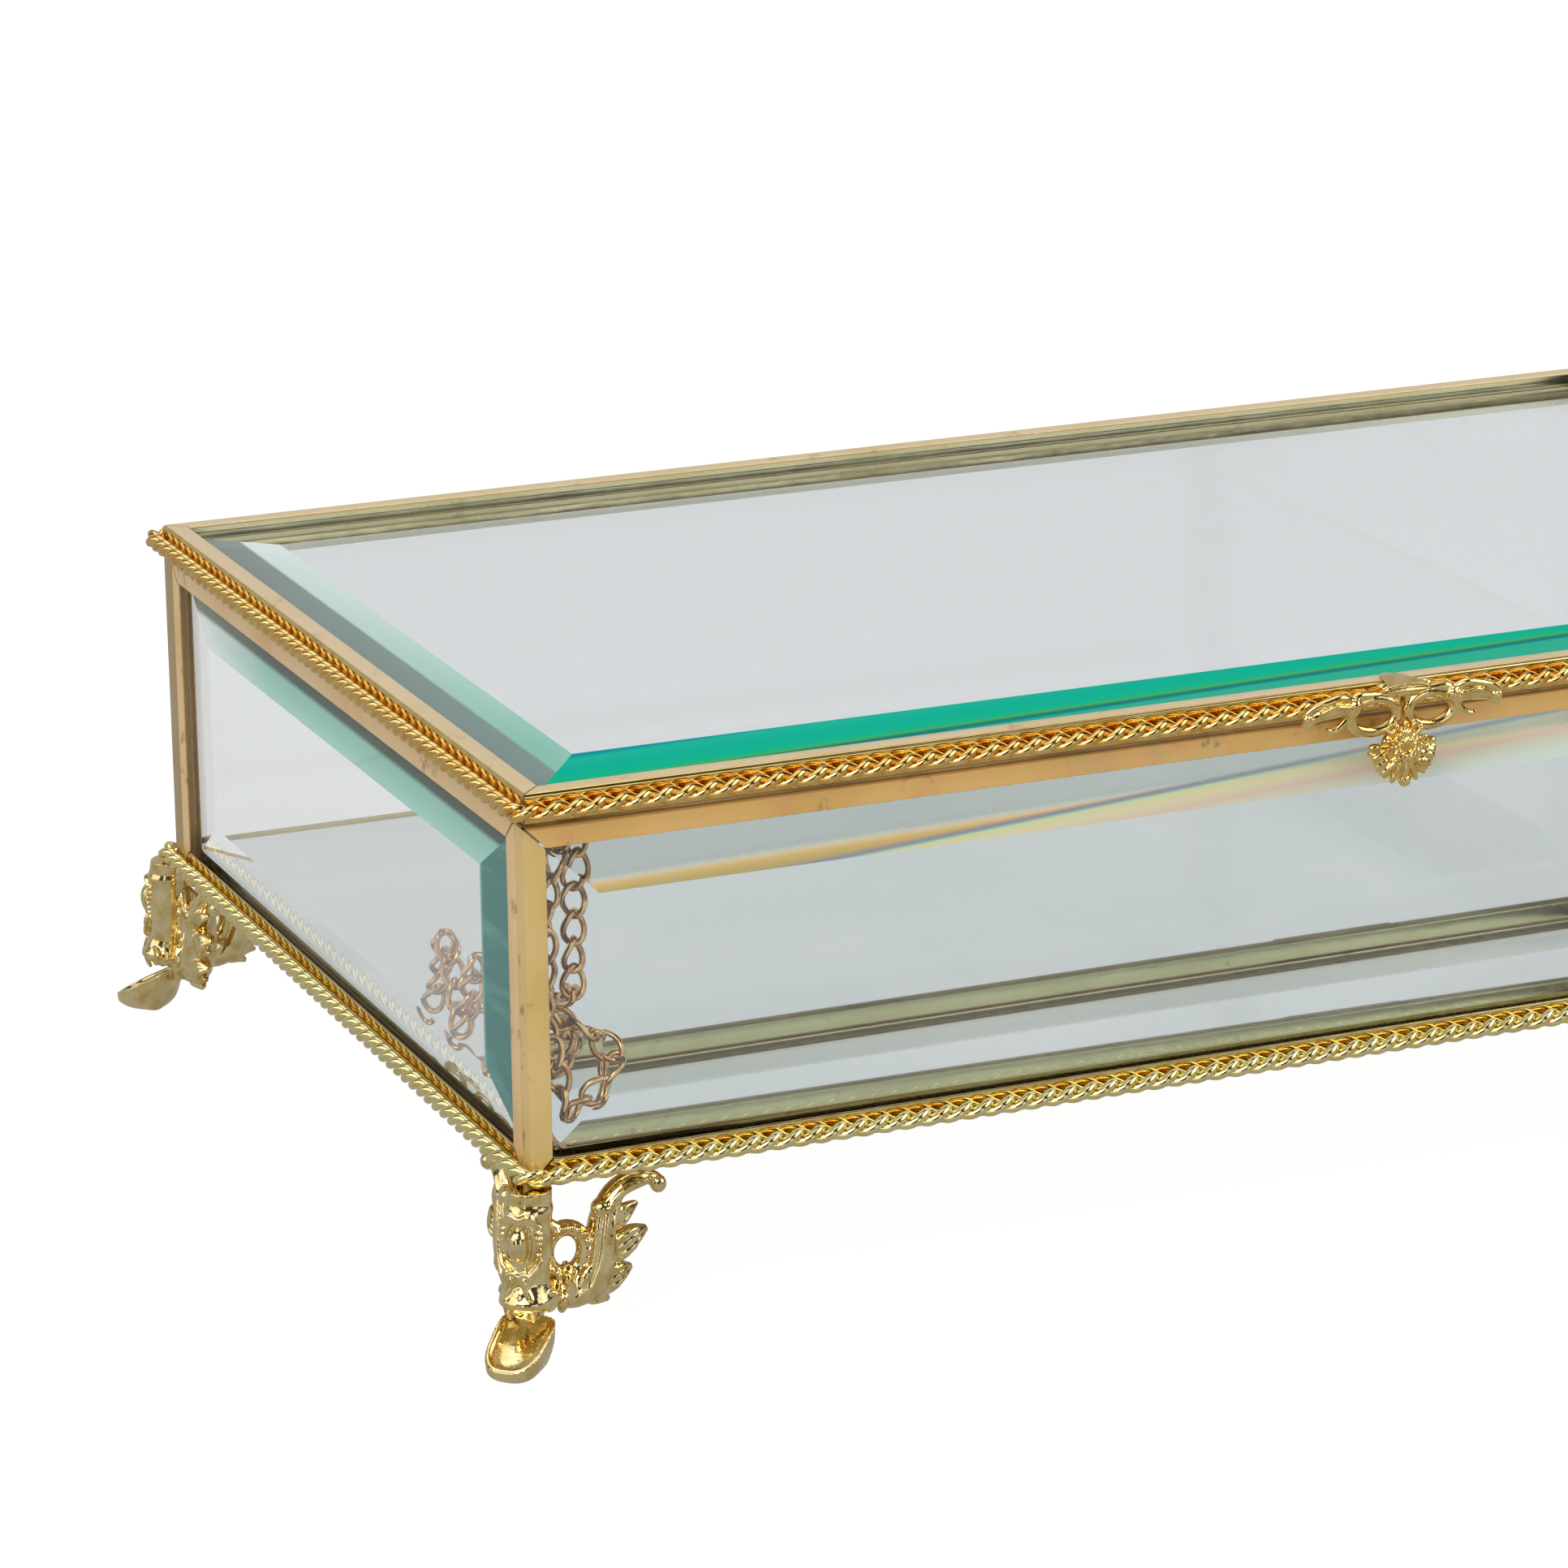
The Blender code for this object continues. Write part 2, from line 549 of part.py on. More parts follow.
def hinge_leaf(name, middle, way, leaf_height, slots, brass):
    """A leaf plate with a rolled knuckle at each of its slots along the pin."""
    clear = KNUCKLE_RADIUS + TOUCH_GAP
    plate_y = HINGE_Y - KNUCKLE_RADIUS
    z_near = HINGE_Z + way * clear
    z_far = HINGE_Z + way * leaf_height
    half = HINGE_LENGTH / 2
    leaf = block(name, (middle - half, plate_y, min(z_near, z_far)),
                 (middle + half, plate_y + LEAF_THICKNESS, max(z_near, z_far)), brass)
    pitch = HINGE_LENGTH / HINGE_KNUCKLES
    rolls = []
    for slot in slots:
        start = middle - half + slot * pitch + TOUCH_GAP / 2
        end = start + pitch - TOUCH_GAP
        rings = [[(x, HINGE_Y + y, HINGE_Z + z) for y, z in knuckle_outline(way)] for x in (start, end)]
        rolls.append(loft(name + "_roll_" + str(slot), rings, brass))
    return join_to(leaf, rolls)


def build_hinges(brass):
    """Two barrel hinges behind. The lid's leaves are returned, to hang on the hinge axis."""
    lid_pieces = []
    even = range(0, HINGE_KNUCKLES, 2)
    odd = range(1, HINGE_KNUCKLES, 2)
    for side, sign in (("left", -1), ("right", 1)):
        middle = sign * HINGE_SPACING / 2
        hinge_leaf("hinge_body_leaf_" + side, middle, -1, BODY_LEAF_HEIGHT, even, brass)
        lid_pieces.append(hinge_leaf("hinge_lid_leaf_" + side, middle, 1, LID_LEAF_HEIGHT, odd, brass))
        ends = [(middle + end * (HINGE_LENGTH / 2 + PIN_OVERHANG), HINGE_Y, HINGE_Z) for end in (-1, 1)]
        tube("hinge_pin_" + side, ends, PIN_RADIUS, brass)
    return lid_pieces


# ---------------------------------------------------------------- stay chain

def mirror_top():
    return FRAME_BOTTOM + FELT_THICKNESS + TOUCH_GAP + MIRROR_THICKNESS


def body_eye():
    return Vector((-INNER_X + CHAIN_INSET, -INNER_Y + BODY_EYE_INSET, BODY_TOP - BODY_EYE_DROP))


def lid_eye():
    return Vector((-INNER_X + CHAIN_INSET + CHAIN_SIDE_STEP, -INNER_Y + BODY_EYE_INSET + LID_EYE_SPACING,
                   LID_BOTTOM - LID_EYE_DROP))


def evenly(start, end, count):
    """The points that divide a straight run into count links, without its first point."""
    return [start + (end - start) * i / count for i in range(1, count + 1)]


def stay_runs():
    """Pivots of the slack chain: those of the part that hangs from the body, and of the part that hangs from the lid.

    Each list starts at its eye. The links fold in planes across the hinge axis, so the chain opens out as the lid
    lifts and is one straight line when it stops the lid.
    """
    low = mirror_top() + STAY_FLOOR_GAP
    start = body_eye()
    foot = Vector((start.x, start.y, low))
    body_run = [start] + evenly(start, foot, STAY_DROP_LINKS)
    for i in range(1, STAY_HEAP_LINKS + 1):
        height = low + (STAY_HEAP_HEIGHT if i % 2 else 0.0)
        body_run.append(Vector((start.x, start.y + STAY_HEAP_PITCH * i, height)))
    top = lid_eye()
    corner = Vector((top.x, top.y, low + STAY_HEAP_HEIGHT + STAY_RETURN_LIFT))
    heap_end = Vector((top.x, body_run[-1].y, body_run[-1].z))
    lid_run = [top] + evenly(top, corner, STAY_RISE_LINKS) + evenly(corner, heap_end, STAY_RETURN_LINKS)
    return body_run, lid_run


def stay_link(name, pivot, end, finish):
    """Long oval link between two pivots, flat across the hinge axis, with its origin on the first pivot."""
    way = (end - pivot).normalized()
    side = Vector((1, 0, 0))
    half = STAY_LINK_HALF_WIDTH - STAY_WIRE
    near = STAY_LINK_END + STAY_WIRE + half
    far = (end - pivot).length - near
    outline = []
    for reach, start in ((near, 180), (far, 0)):
        bend = arc((0, 0), half, start, start + 180, STAY_BEND_STEPS)
        outline += [way * (reach + across) + side * along for along, across in bend]
    link = tube(name, outline, STAY_WIRE, finish, closed=True)
    link.location = pivot
    return link


def build_stay_chain(finish):
    body_run, lid_run = stay_runs()
    total = len(body_run) + len(lid_run) - 2
    for i in range(len(body_run) - 1):
        stay_link(f"stay_chain_{i + 1:02d}", body_run[i], body_run[i + 1], finish)
    for i in range(len(lid_run) - 1):
        stay_link(f"stay_chain_{total - i:02d}", lid_run[i], lid_run[i + 1], finish)


def eye_ring(name, centre, finish):
    """Ring of wire across the hinge axis."""
    section = arc((0, 0), EYE_WIRE, 0, 360 - 360 / EYE_WIRE_SIDES, EYE_WIRE_SIDES - 1)
    around = arc((0, 0), 1, 0, 360 - 360 / EYE_SIDES, EYE_SIDES - 1)
    vertices = [centre + Vector((out, y * (EYE_RADIUS + rise), z * (EYE_RADIUS + rise)))
                for y, z in around for out, rise in section]
    faces = []
    for i in range(len(around)):
        for j in range(len(section)):
            here, there = i * len(section), (i + 1) % len(around) * len(section)
            k = (j + 1) % len(section)
            faces.append((here + j, here + k, there + k, there + j))
    return mesh_object(name, vertices, faces, finish)


def build_body_eye(brass):
    """Eye soldered to the inside of the front channel."""
    centre = body_eye()
    low = (centre.x - EYE_TAB, -INNER_Y + TOUCH_GAP, centre.z - EYE_TAB)
    high = (centre.x + EYE_TAB, centre.y - EYE_RADIUS, centre.z + EYE_TAB)
    return join_to(block("stay_eye_body", low, high, brass), [eye_ring("stay_eye_body_ring", centre, brass)])


def build_lid_eye(brass):
    """Eye on a tab soldered to the lip of the lid's side channel, between the glass and the body."""
    centre = lid_eye()
    low = (-HALF_LENGTH + LID_FLANGE + TOUCH_GAP, centre.y - EYE_TAB, centre.z + EYE_RADIUS + EYE_WIRE / 2)
    high = (centre.x + EYE_TAB, centre.y + EYE_TAB, LID_BOTTOM + BRASS)
    return join_to(block("stay_eye_lid", low, high, brass), [eye_ring("stay_eye_lid_ring", centre, brass)])


# ---------------------------------------------------------------- assembly

def main():
    clear_scene()
    brass = material("folded_brass", BRASS_COLOUR, 1.0, 0.32)
    gold = material("polished_gold_plate", GOLD_COLOUR, 1.0, 0.14)
    old_gold = material("worn_gilt_chain", OLD_GOLD_COLOUR, 1.0, 0.35)
    glass = material("bevelled_plate_glass", GLASS_COLOUR, 0.0, 0.02, 1.0)
    mirror = material("silvered_mirror", MIRROR_COLOUR, 1.0, 0.03)
    felt = material("felt_pad", FELT_COLOUR, 0.0, 0.9)

    build_panels(brass, glass)
    build_floor(mirror, felt, brass)
    build_lower_rope(gold)
    build_feet(gold)
    build_body_eye(brass)
    build_stay_chain(old_gold)

    lid_axis = bpy.data.objects.new("lid_axis", None)
    lid_axis.location = HINGE_AXIS
    bpy.context.collection.objects.link(lid_axis)
    lid_pieces = build_lid_frame(brass, glass) + [build_lid_rope(gold), build_lift(gold), build_lid_eye(brass)]
    for piece in lid_pieces + build_hinges(brass):
        hang_on(lid_axis, piece)


main()
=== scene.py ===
"""Looks of a vanity trinket box: bevelled glass in folded brass channel, twisted rope, cast feet and lift, curb chain.

Metres, +Z up, +X to the right, the front towards -Y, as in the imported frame.
"""

import json
import math

import bmesh
import bpy
import numpy as np
from mathutils import Matrix, Vector


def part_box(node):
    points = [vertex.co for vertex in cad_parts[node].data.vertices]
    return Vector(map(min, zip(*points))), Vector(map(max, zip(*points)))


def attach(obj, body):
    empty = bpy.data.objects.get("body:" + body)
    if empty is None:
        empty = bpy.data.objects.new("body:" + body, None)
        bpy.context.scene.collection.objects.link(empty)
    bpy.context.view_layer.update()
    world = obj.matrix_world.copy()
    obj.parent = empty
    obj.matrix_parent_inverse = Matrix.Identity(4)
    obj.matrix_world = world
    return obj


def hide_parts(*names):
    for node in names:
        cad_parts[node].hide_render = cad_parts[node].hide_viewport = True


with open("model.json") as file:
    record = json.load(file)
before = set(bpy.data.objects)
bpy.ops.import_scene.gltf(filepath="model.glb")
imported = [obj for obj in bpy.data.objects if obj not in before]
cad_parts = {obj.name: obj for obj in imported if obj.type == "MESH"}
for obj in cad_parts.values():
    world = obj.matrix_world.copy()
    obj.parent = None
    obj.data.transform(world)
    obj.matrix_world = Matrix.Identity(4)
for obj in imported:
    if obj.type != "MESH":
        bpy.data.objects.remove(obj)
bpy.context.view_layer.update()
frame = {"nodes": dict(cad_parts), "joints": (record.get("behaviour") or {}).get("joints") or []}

# ---------------------------------------------------------------- places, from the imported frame

MM = 0.001
BODY_LOW, BODY_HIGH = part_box("front_bottom_rail")
HALF_LENGTH = BODY_HIGH.x
HALF_DEPTH = -BODY_LOW.y
FRAME_BOTTOM = BODY_LOW.z
RAIL_EDGE = BODY_HIGH.z
CHANNEL_DEPTH = BODY_HIGH.y - BODY_LOW.y
BODY_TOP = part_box("front_top_rail")[1].z
LID_LOW, LID_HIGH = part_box("lid_front_rail")
LID_BOTTOM, LID_TOP = LID_LOW.z, LID_HIGH.z
LID_FLANGE = LID_HIGH.y - LID_LOW.y
GAP = 0.3 * MM
BRASS = 0.4 * MM
BODY_FLANGE = RAIL_EDGE - FRAME_BOTTOM
FOOT_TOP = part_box("foot_front_left")[1].z


# ---------------------------------------------------------------- camera

CAMERA_PLACE = Vector((-0.3725, -0.7431, 0.2942))
CAMERA_AZIMUTH = math.radians(22.983)
CAMERA_DROP = math.radians(16.908)
CAMERA_ROLL = math.radians(0.619)
CAMERA_LENS = 133.32


def place_camera():
    """A level camera turned by its azimuth, tipped down, then rolled a little about its line of sight."""
    forward = Vector((math.sin(CAMERA_AZIMUTH) * math.cos(CAMERA_DROP),
                      math.cos(CAMERA_AZIMUTH) * math.cos(CAMERA_DROP), -math.sin(CAMERA_DROP)))
    level = Vector((math.cos(CAMERA_AZIMUTH), -math.sin(CAMERA_AZIMUTH), 0.0))
    down = forward.cross(level)
    right = level * math.cos(CAMERA_ROLL) + down * math.sin(CAMERA_ROLL)
    up = level * math.sin(CAMERA_ROLL) - down * math.cos(CAMERA_ROLL)
    data = bpy.data.cameras.new("camera")
    data.lens = CAMERA_LENS
    data.sensor_width = 36.0
    camera = bpy.data.objects.new("camera", data)
    turn = Matrix((right, up, -forward)).transposed().to_4x4()
    camera.matrix_world = Matrix.Translation(CAMERA_PLACE) @ turn
    bpy.context.scene.collection.objects.link(camera)
    bpy.context.scene.camera = camera


place_camera()


# ---------------------------------------------------------------- node helpers

def colour(hex_value):
    """sRGB hex to linear red, green, blue and 1."""
    parts = [int(hex_value[i:i + 2], 16) / 255 for i in (1, 3, 5)]
    return tuple(p / 12.92 if p <= 0.04045 else ((p + 0.055) / 1.055) ** 2.4 for p in parts) + (1.0,)


def add_node(tree, kind, links=None, **settings):
    """One node: settings are its properties or, with a leading in_, its input values; links feed its inputs."""
    node = tree.nodes.new(kind)
    for name, value in settings.items():
        if name.startswith("in_"):
            key = name[3:]
            node.inputs[int(key) if key.isdigit() else key.replace("_", " ")].default_value = value
        else:
            setattr(node, name, value)
    for key, source in (links or {}).items():
        tree.links.new(source, node.inputs[key])
    return node


def new_finish(name):
    """An empty material and its node tree."""
    finish = bpy.data.materials.new(name)
    finish.use_nodes = True
    tree = finish.node_tree
    tree.nodes.clear()
    return finish, tree


def ramp_node(tree, source, stops):
    """Colour ramp over a source, whose stops are places and hex colours."""
    node = add_node(tree, "ShaderNodeValToRGB", {"Fac": source})
    ramp = node.color_ramp
    while len(ramp.elements) > 1:
        ramp.elements.remove(ramp.elements[-1])
    ramp.elements[0].position = stops[0][0]
    ramp.elements[0].color = colour(stops[0][1])
    for place, value in stops[1:]:
        ramp.elements.new(place).color = colour(value)
    return node


def close_finish(tree, shader):
    """The shader is the surface of the finish."""
    add_node(tree, "ShaderNodeOutputMaterial", {"Surface": shader.outputs[0]})


def object_place(tree):
    """The place of a point on the object, in metres."""
    return add_node(tree, "ShaderNodeTexCoord").outputs["Object"]


def mixed(tree, share, first, second):
    """Colour mix: first x (1 - share) + second x share, each of them a socket or a value."""
    node = add_node(tree, "ShaderNodeMix", data_type="RGBA")
    # the colour inputs are numbers 6 and 7 of this node, and its colour output is number 2
    for key, value in ((0, share), (6, first), (7, second)):
        if isinstance(value, bpy.types.NodeSocket):
            tree.links.new(value, node.inputs[key])
        else:
            node.inputs[key].default_value = value
    return node.outputs[2]


# ---------------------------------------------------------------- finishes

def folded_brass(name, base, warm, cool, stain, roughness, metallic=1.0, heat=0.0):
    """Folded brass sheet, brushed down and lacquered: satin, a little wavy, with faint solder marks.

    Metallic below 1 is the haze of the lacquer, which spreads some of the light. Heat is the share of the pink, straw
    and green oxide rings that the torch leaves beside the solder."""
    finish, tree = new_finish(name)
    place = object_place(tree)
    broad = add_node(tree, "ShaderNodeTexNoise", {"Vector": place}, in_Scale=55.0, in_Detail=3.0, in_Roughness=0.5)
    tint = ramp_node(tree, broad.outputs[0], ((0.30, warm), (0.50, base), (0.72, cool)))
    spots = add_node(tree, "ShaderNodeTexNoise", {"Vector": place}, in_Scale=170.0, in_Detail=4.0, in_Roughness=0.62)
    spot_mask = ramp_node(tree, spots.outputs[0], ((0.62, "#000000"), (0.72, "#FFFFFF")))
    shade = mixed(tree, spot_mask.outputs[0], tint.outputs[0], colour(stain))
    if heat:
        slow_heat = add_node(tree, "ShaderNodeTexNoise", {"Vector": place}, in_Scale=70.0, in_Detail=1.5)
        rings = ramp_node(tree, slow_heat.outputs[0], ((0.52, base), (0.57, "#D58F6C"), (0.60, "#D9A98C"),
                                                       (0.63, "#A9BC7E"), (0.66, "#CE9C93"), (0.72, base)))
        shade = mixed(tree, heat, shade, rings.outputs[0])
    waves = add_node(tree, "ShaderNodeTexNoise", {"Vector": place}, in_Scale=140.0, in_Detail=2.0)
    # draw lines of the rolled sheet, 0.08 mm apart and drawn three times coarser so that they show
    grain = add_node(tree, "ShaderNodeTexNoise", {"Vector": place}, in_Scale=4200.0, in_Detail=2.0)
    slow = add_node(tree, "ShaderNodeBump", {"Height": waves.outputs[0]}, in_Strength=0.35, in_Distance=0.5 * MM)
    fine = add_node(tree, "ShaderNodeBump", {"Height": grain.outputs[0], "Normal": slow.outputs[0]},
                    in_Strength=0.08, in_Distance=0.05 * MM)
    rough = add_node(tree, "ShaderNodeMapRange", {"Value": broad.outputs[0]}, in_1=0.3, in_2=0.7,
                     in_3=roughness - 0.05, in_4=roughness + 0.08)
    shader = add_node(tree, "ShaderNodeBsdfPrincipled", {"Base Color": shade, "Normal": fine.outputs[0],
                                                         "Roughness": rough.outputs[0]}, in_Metallic=metallic)
    close_finish(tree, shader)
    return finish


def gold_plate(name, base, deep, roughness, cast):
    """Pale gold plate over brass: mirror bright, a touch deeper in random patches; castings keep a soft lumpiness."""
    finish, tree = new_finish(name)
    place = object_place(tree)
    broad = add_node(tree, "ShaderNodeTexNoise", {"Vector": place}, in_Scale=420.0, in_Detail=3.0)
    shade = ramp_node(tree, broad.outputs[0], ((0.32, deep), (0.60, base)))
    lumps = add_node(tree, "ShaderNodeTexNoise", {"Vector": place}, in_Scale=500.0 if cast else 300.0, in_Detail=3.0)
    bump = add_node(tree, "ShaderNodeBump", {"Height": lumps.outputs[0]}, in_Strength=0.5 if cast else 0.12,
                    in_Distance=0.15 * MM if cast else 0.05 * MM)
    shader = add_node(tree, "ShaderNodeBsdfPrincipled", {"Base Color": shade.outputs[0], "Normal": bump.outputs[0]},
                      in_Metallic=1.0, in_Roughness=roughness)
    close_finish(tree, shader)
    return finish


def plate_glass(name, tint):
    """Clear float glass with a faint tint in its body."""
    finish, tree = new_finish(name)
    shader = add_node(tree, "ShaderNodeBsdfPrincipled", in_Base_Color=colour(tint), in_Roughness=0.0, in_IOR=1.52,
                      in_Transmission_Weight=1.0)
    close_finish(tree, shader)
    return finish


def ground_bevel(name, stops, solid, drift=(0, 0, 0), start=0.0, reach=1.0, clear_below=None, far=None, streak=None,
                 gloss=0.15, over=None, ior=1.52):
    """One ground and polished facet of a pane, with painted light: the bands of colour that such a facet bends and
    mirrors out of its surroundings are painted into its colour.

    The attribute across runs 0 to 1 from the pane's edge to its flat. The bands lie at (across + place . drift +
    start) / reach, so they wander across the facet along its length. solid is the share of the light that comes back
    as painted colour and isn't let through. Below clear_below the facet is clear glass. streak is the scale of the
    grinding lines, drawn as painted light lines. far is a second set of bands and the two places between which it
    takes over, as (stops, axis, from, to).
    over is a set that wanders at its own rate and hides the others from its first stop on, as (stops, drift)."""
    finish, tree = new_finish(name)
    place = object_place(tree)
    across = add_node(tree, "ShaderNodeAttribute", attribute_name="across").outputs["Fac"]
    lead = add_node(tree, "ShaderNodeVectorMath", {0: place}, operation="DOT_PRODUCT", in_1=drift).outputs["Value"]
    moved = add_node(tree, "ShaderNodeMath", {0: across, 1: lead}, operation="ADD").outputs[0]
    band = add_node(tree, "ShaderNodeMapRange", {"Value": moved}, in_1=-start, in_2=reach - start).outputs[0]
    shade = ramp_node(tree, band, stops).outputs[0]
    if far:
        split = add_node(tree, "ShaderNodeSeparateXYZ", {0: place}).outputs[far[1]]
        share = add_node(tree, "ShaderNodeMapRange", {"Value": split}, in_1=far[2], in_2=far[3]).outputs[0]
        shade = mixed(tree, share, shade, ramp_node(tree, band, far[0]).outputs[0])
    if over:
        own = add_node(tree, "ShaderNodeVectorMath", {0: place}, operation="DOT_PRODUCT", in_1=over[1])
        line = add_node(tree, "ShaderNodeMath", {0: across, 1: own.outputs["Value"]}, operation="ADD").outputs[0]
        first = over[0][0][0]
        reached = add_node(tree, "ShaderNodeMapRange", {"Value": line}, in_1=first - 0.05, in_2=first).outputs[0]
        shade = mixed(tree, reached, shade, ramp_node(tree, line, over[0]).outputs[0])
    if streak:
        # the grinding wheel's marks along the facet, drawn as faint painted light lines
        stretched = add_node(tree, "ShaderNodeMapping", {"Vector": place}, in_Scale=streak)
        lines = add_node(tree, "ShaderNodeTexNoise", {"Vector": stretched.outputs[0]}, in_Scale=1.0, in_Detail=3.0)
        mask = ramp_node(tree, lines.outputs[0], ((0.50, "#000000"), (0.72, "#8A8A8A")))
        shade = mixed(tree, mask.outputs[0], shade, colour("#7DB79E"))
    settings = {"in_Roughness": 0.02, "in_IOR": ior, "in_Specular_IOR_Level": gloss}
    feeds = {"Base Color": shade}
    if clear_below is None:
        settings["in_Transmission_Weight"] = 1.0 - solid
    else:
        feeds["Transmission Weight"] = add_node(tree, "ShaderNodeMapRange", {"Value": band}, in_1=clear_below,
                                                in_2=clear_below + 0.06, in_3=1.0, in_4=1.0 - solid).outputs[0]
    close_finish(tree, add_node(tree, "ShaderNodeBsdfPrincipled", feeds, **settings))
    return finish


def silvered_mirror():
    """Silvered mirror glass: a near perfect mirror with a faint grey green cast."""
    finish, tree = new_finish("silvered_mirror_glass")
    place = object_place(tree)
    haze = add_node(tree, "ShaderNodeTexNoise", {"Vector": place}, in_Scale=30.0, in_Detail=4.0)
    shade = ramp_node(tree, haze.outputs[0], ((0.3, "#DDE4E4"), (0.7, "#E6EBEA")))
    shader = add_node(tree, "ShaderNodeBsdfPrincipled", {"Base Color": shade.outputs[0]}, in_Metallic=1.0,
                      in_Roughness=0.015)
    close_finish(tree, shader)
    return finish


def pressed_felt():
    """Black pressed wool felt under the mirror, with a short fuzzy nap."""
    finish, tree = new_finish("pressed_wool_felt")
    place = object_place(tree)
    fibre = add_node(tree, "ShaderNodeTexNoise", {"Vector": place}, in_Scale=2600.0, in_Detail=3.0)
    shade = ramp_node(tree, fibre.outputs[0], ((0.3, "#15120F"), (0.7, "#2B2622")))
    bump = add_node(tree, "ShaderNodeBump", {"Height": fibre.outputs[0]}, in_Strength=0.8, in_Distance=0.1 * MM)
    shader = add_node(tree, "ShaderNodeBsdfPrincipled", {"Base Color": shade.outputs[0], "Normal": bump.outputs[0]},
                      in_Roughness=0.95, in_Sheen_Weight=0.3)
    close_finish(tree, shader)
    return finish


# The front, front top rail and side copies of the brass carry painted light: their base colours are raised face by
# face to stand in for the light that falls on those faces. Their heat rings and stains are the metal's own.
FRONT_BRASS_PAINTED_LIGHT = folded_brass("satin_folded_brass", "#DABB79", "#E0BE84", "#CDAD68", "#A07842", 0.30, metallic=0.5)
TOP_RAIL_BRASS_PAINTED_LIGHT = folded_brass("torch_tinted_brass", "#E4B76F", "#E8B97A", "#D4A860", "#94693A", 0.28, metallic=0.5,
                         heat=0.22)
SIDE_BRASS_PAINTED_LIGHT = folded_brass("warm_folded_brass", "#E1BF8A", "#E5C494", "#D3B078", "#A98052", 0.30, metallic=0.5)
LID_BRASS = folded_brass("pale_folded_brass", "#E6CDA0", "#E9CFA6", "#DCC292", "#C6A67A", 0.28, metallic=0.5)
BACK_BRASS = folded_brass("dull_folded_brass", "#D3B98B", "#D8C092", "#C6AC7A", "#A88A5C", 0.34)
# The inner brass of the box's back is painted light: its pale base colour stands in for the light that the glass keeps
# from the faces inside the box.
BOX_INNER_BRASS_PAINTED_LIGHT = folded_brass("bright_inner_brass", "#D8D6A6", "#DCDAAE", "#CFCB98", "#B4AE80", 0.22)
# The lid's inner flange is painted light in the same way: its near white base colour stands in for the light that the
# glass keeps from it.
LID_INNER_FLANGE_PAINTED_LIGHT = folded_brass("pale_inner_brass", "#F6EFC8", "#F8F1CE", "#EDE4B8", "#D2C698", 0.22)
# dark brown brass on the inner flange of the bottom rails, inside the box
DARK_INNER_FLANGE_BRASS = folded_brass("flux_darkened_brass", "#5A4A33", "#66553B", "#4A3B29", "#33281C", 0.4, metallic=0.5)
HINGE_BRASS = folded_brass("rolled_hinge_brass", "#CDAA6C", "#D2B075", "#BF9A58", "#8A6636", 0.25)
TRIM_GOLD = gold_plate("mirror_gold_plated_brass", "#EBCF86", "#DDB765", 0.07, False)
ROPE_GOLD = gold_plate("pale_gold_plated_rope", "#F6E8A8", "#EBD68A", 0.08, False)
LID_ROPE_GOLD = gold_plate("warm_gold_plated_rope", "#F0CC7E", "#E4B05A", 0.08, False)
LIFT_GOLD = gold_plate("polished_gold_plated_lift", "#F3D890", "#DDB765", 0.09, True)
CAST_GOLD = gold_plate("polished_gold_plated_casting", "#F1DDA6", "#D9BC74", 0.10, True)
CHAIN_GILT = gold_plate("worn_gilt_curb_chain", "#E2BE86", "#A5764F", 0.16, True)
MIRROR = silvered_mirror()
FELT = pressed_felt()

LID_PANE = plate_glass("lid_plate_glass", "#EAEDEF")
SIDE_PANE = plate_glass("side_plate_glass", "#F2F3F3")
FRONT_PANE = plate_glass("front_plate_glass", "#EEF0F0")
# painted light: bands of refracted and mirrored colour that a ground bevel gathers out of its surroundings, from the
# edge of the pane to its flat
LID_FRONT_BEVEL = ground_bevel(
    "sea_green_bevel", ((0.0, "#27A083"), (0.385, "#2A9C80"), (0.427, "#0B6E78"), (0.454, "#1B7560"),
                        (0.485, "#44984F"), (0.523, "#0FA17C"), (0.692, "#049D85"), (0.87, "#1AA188"),
                        (0.915, "#008A94"), (0.96, "#00808F")),
    0.97, (-2.9, 0, 0), -0.074, 1.3, gloss=0.05, ior=1.12)
LID_SIDE_BEVEL = ground_bevel(
    "split_green_bevel", ((0.0, "#6A7C77"), (0.62, "#69807B"), (0.66, "#74AE9E"), (1.0, "#76B0A0")), 0.88,
    far=(((0.0, "#727F7A"), (0.62, "#77857F"), (0.66, "#CED9D6"), (1.0, "#CED9D6")), 1, -0.055, 0.062))
LID_BACK_BEVEL = ground_bevel(
    "pale_grey_bevel", ((0.0, "#C8C8BA"), (0.45, "#D2D4CA"), (0.80, "#DCDED8"), (1.0, "#EEEEE6")), 0.0, ior=1.02)
SIDE_TOP_BEVEL = ground_bevel(
    "pale_green_bevel", ((0.0, "#4B544C"), (0.50, "#4B564D"), (0.58, "#84B1A3"), (1.0, "#93BCB0")), 0.88,
    far=(((0.0, "#6A7264"), (0.50, "#6A7264"), (0.58, "#C2CBC8"), (1.0, "#C6CFCC")), 1, 0.03, 0.058))
SIDE_NEAR_BEVEL = ground_bevel(
    "deep_teal_bevel", ((0.0, "#4C726E"), (0.94, "#4E7772"), (1.0, "#7FA199")), 0.92, streak=(60.0, 60.0, 420.0))
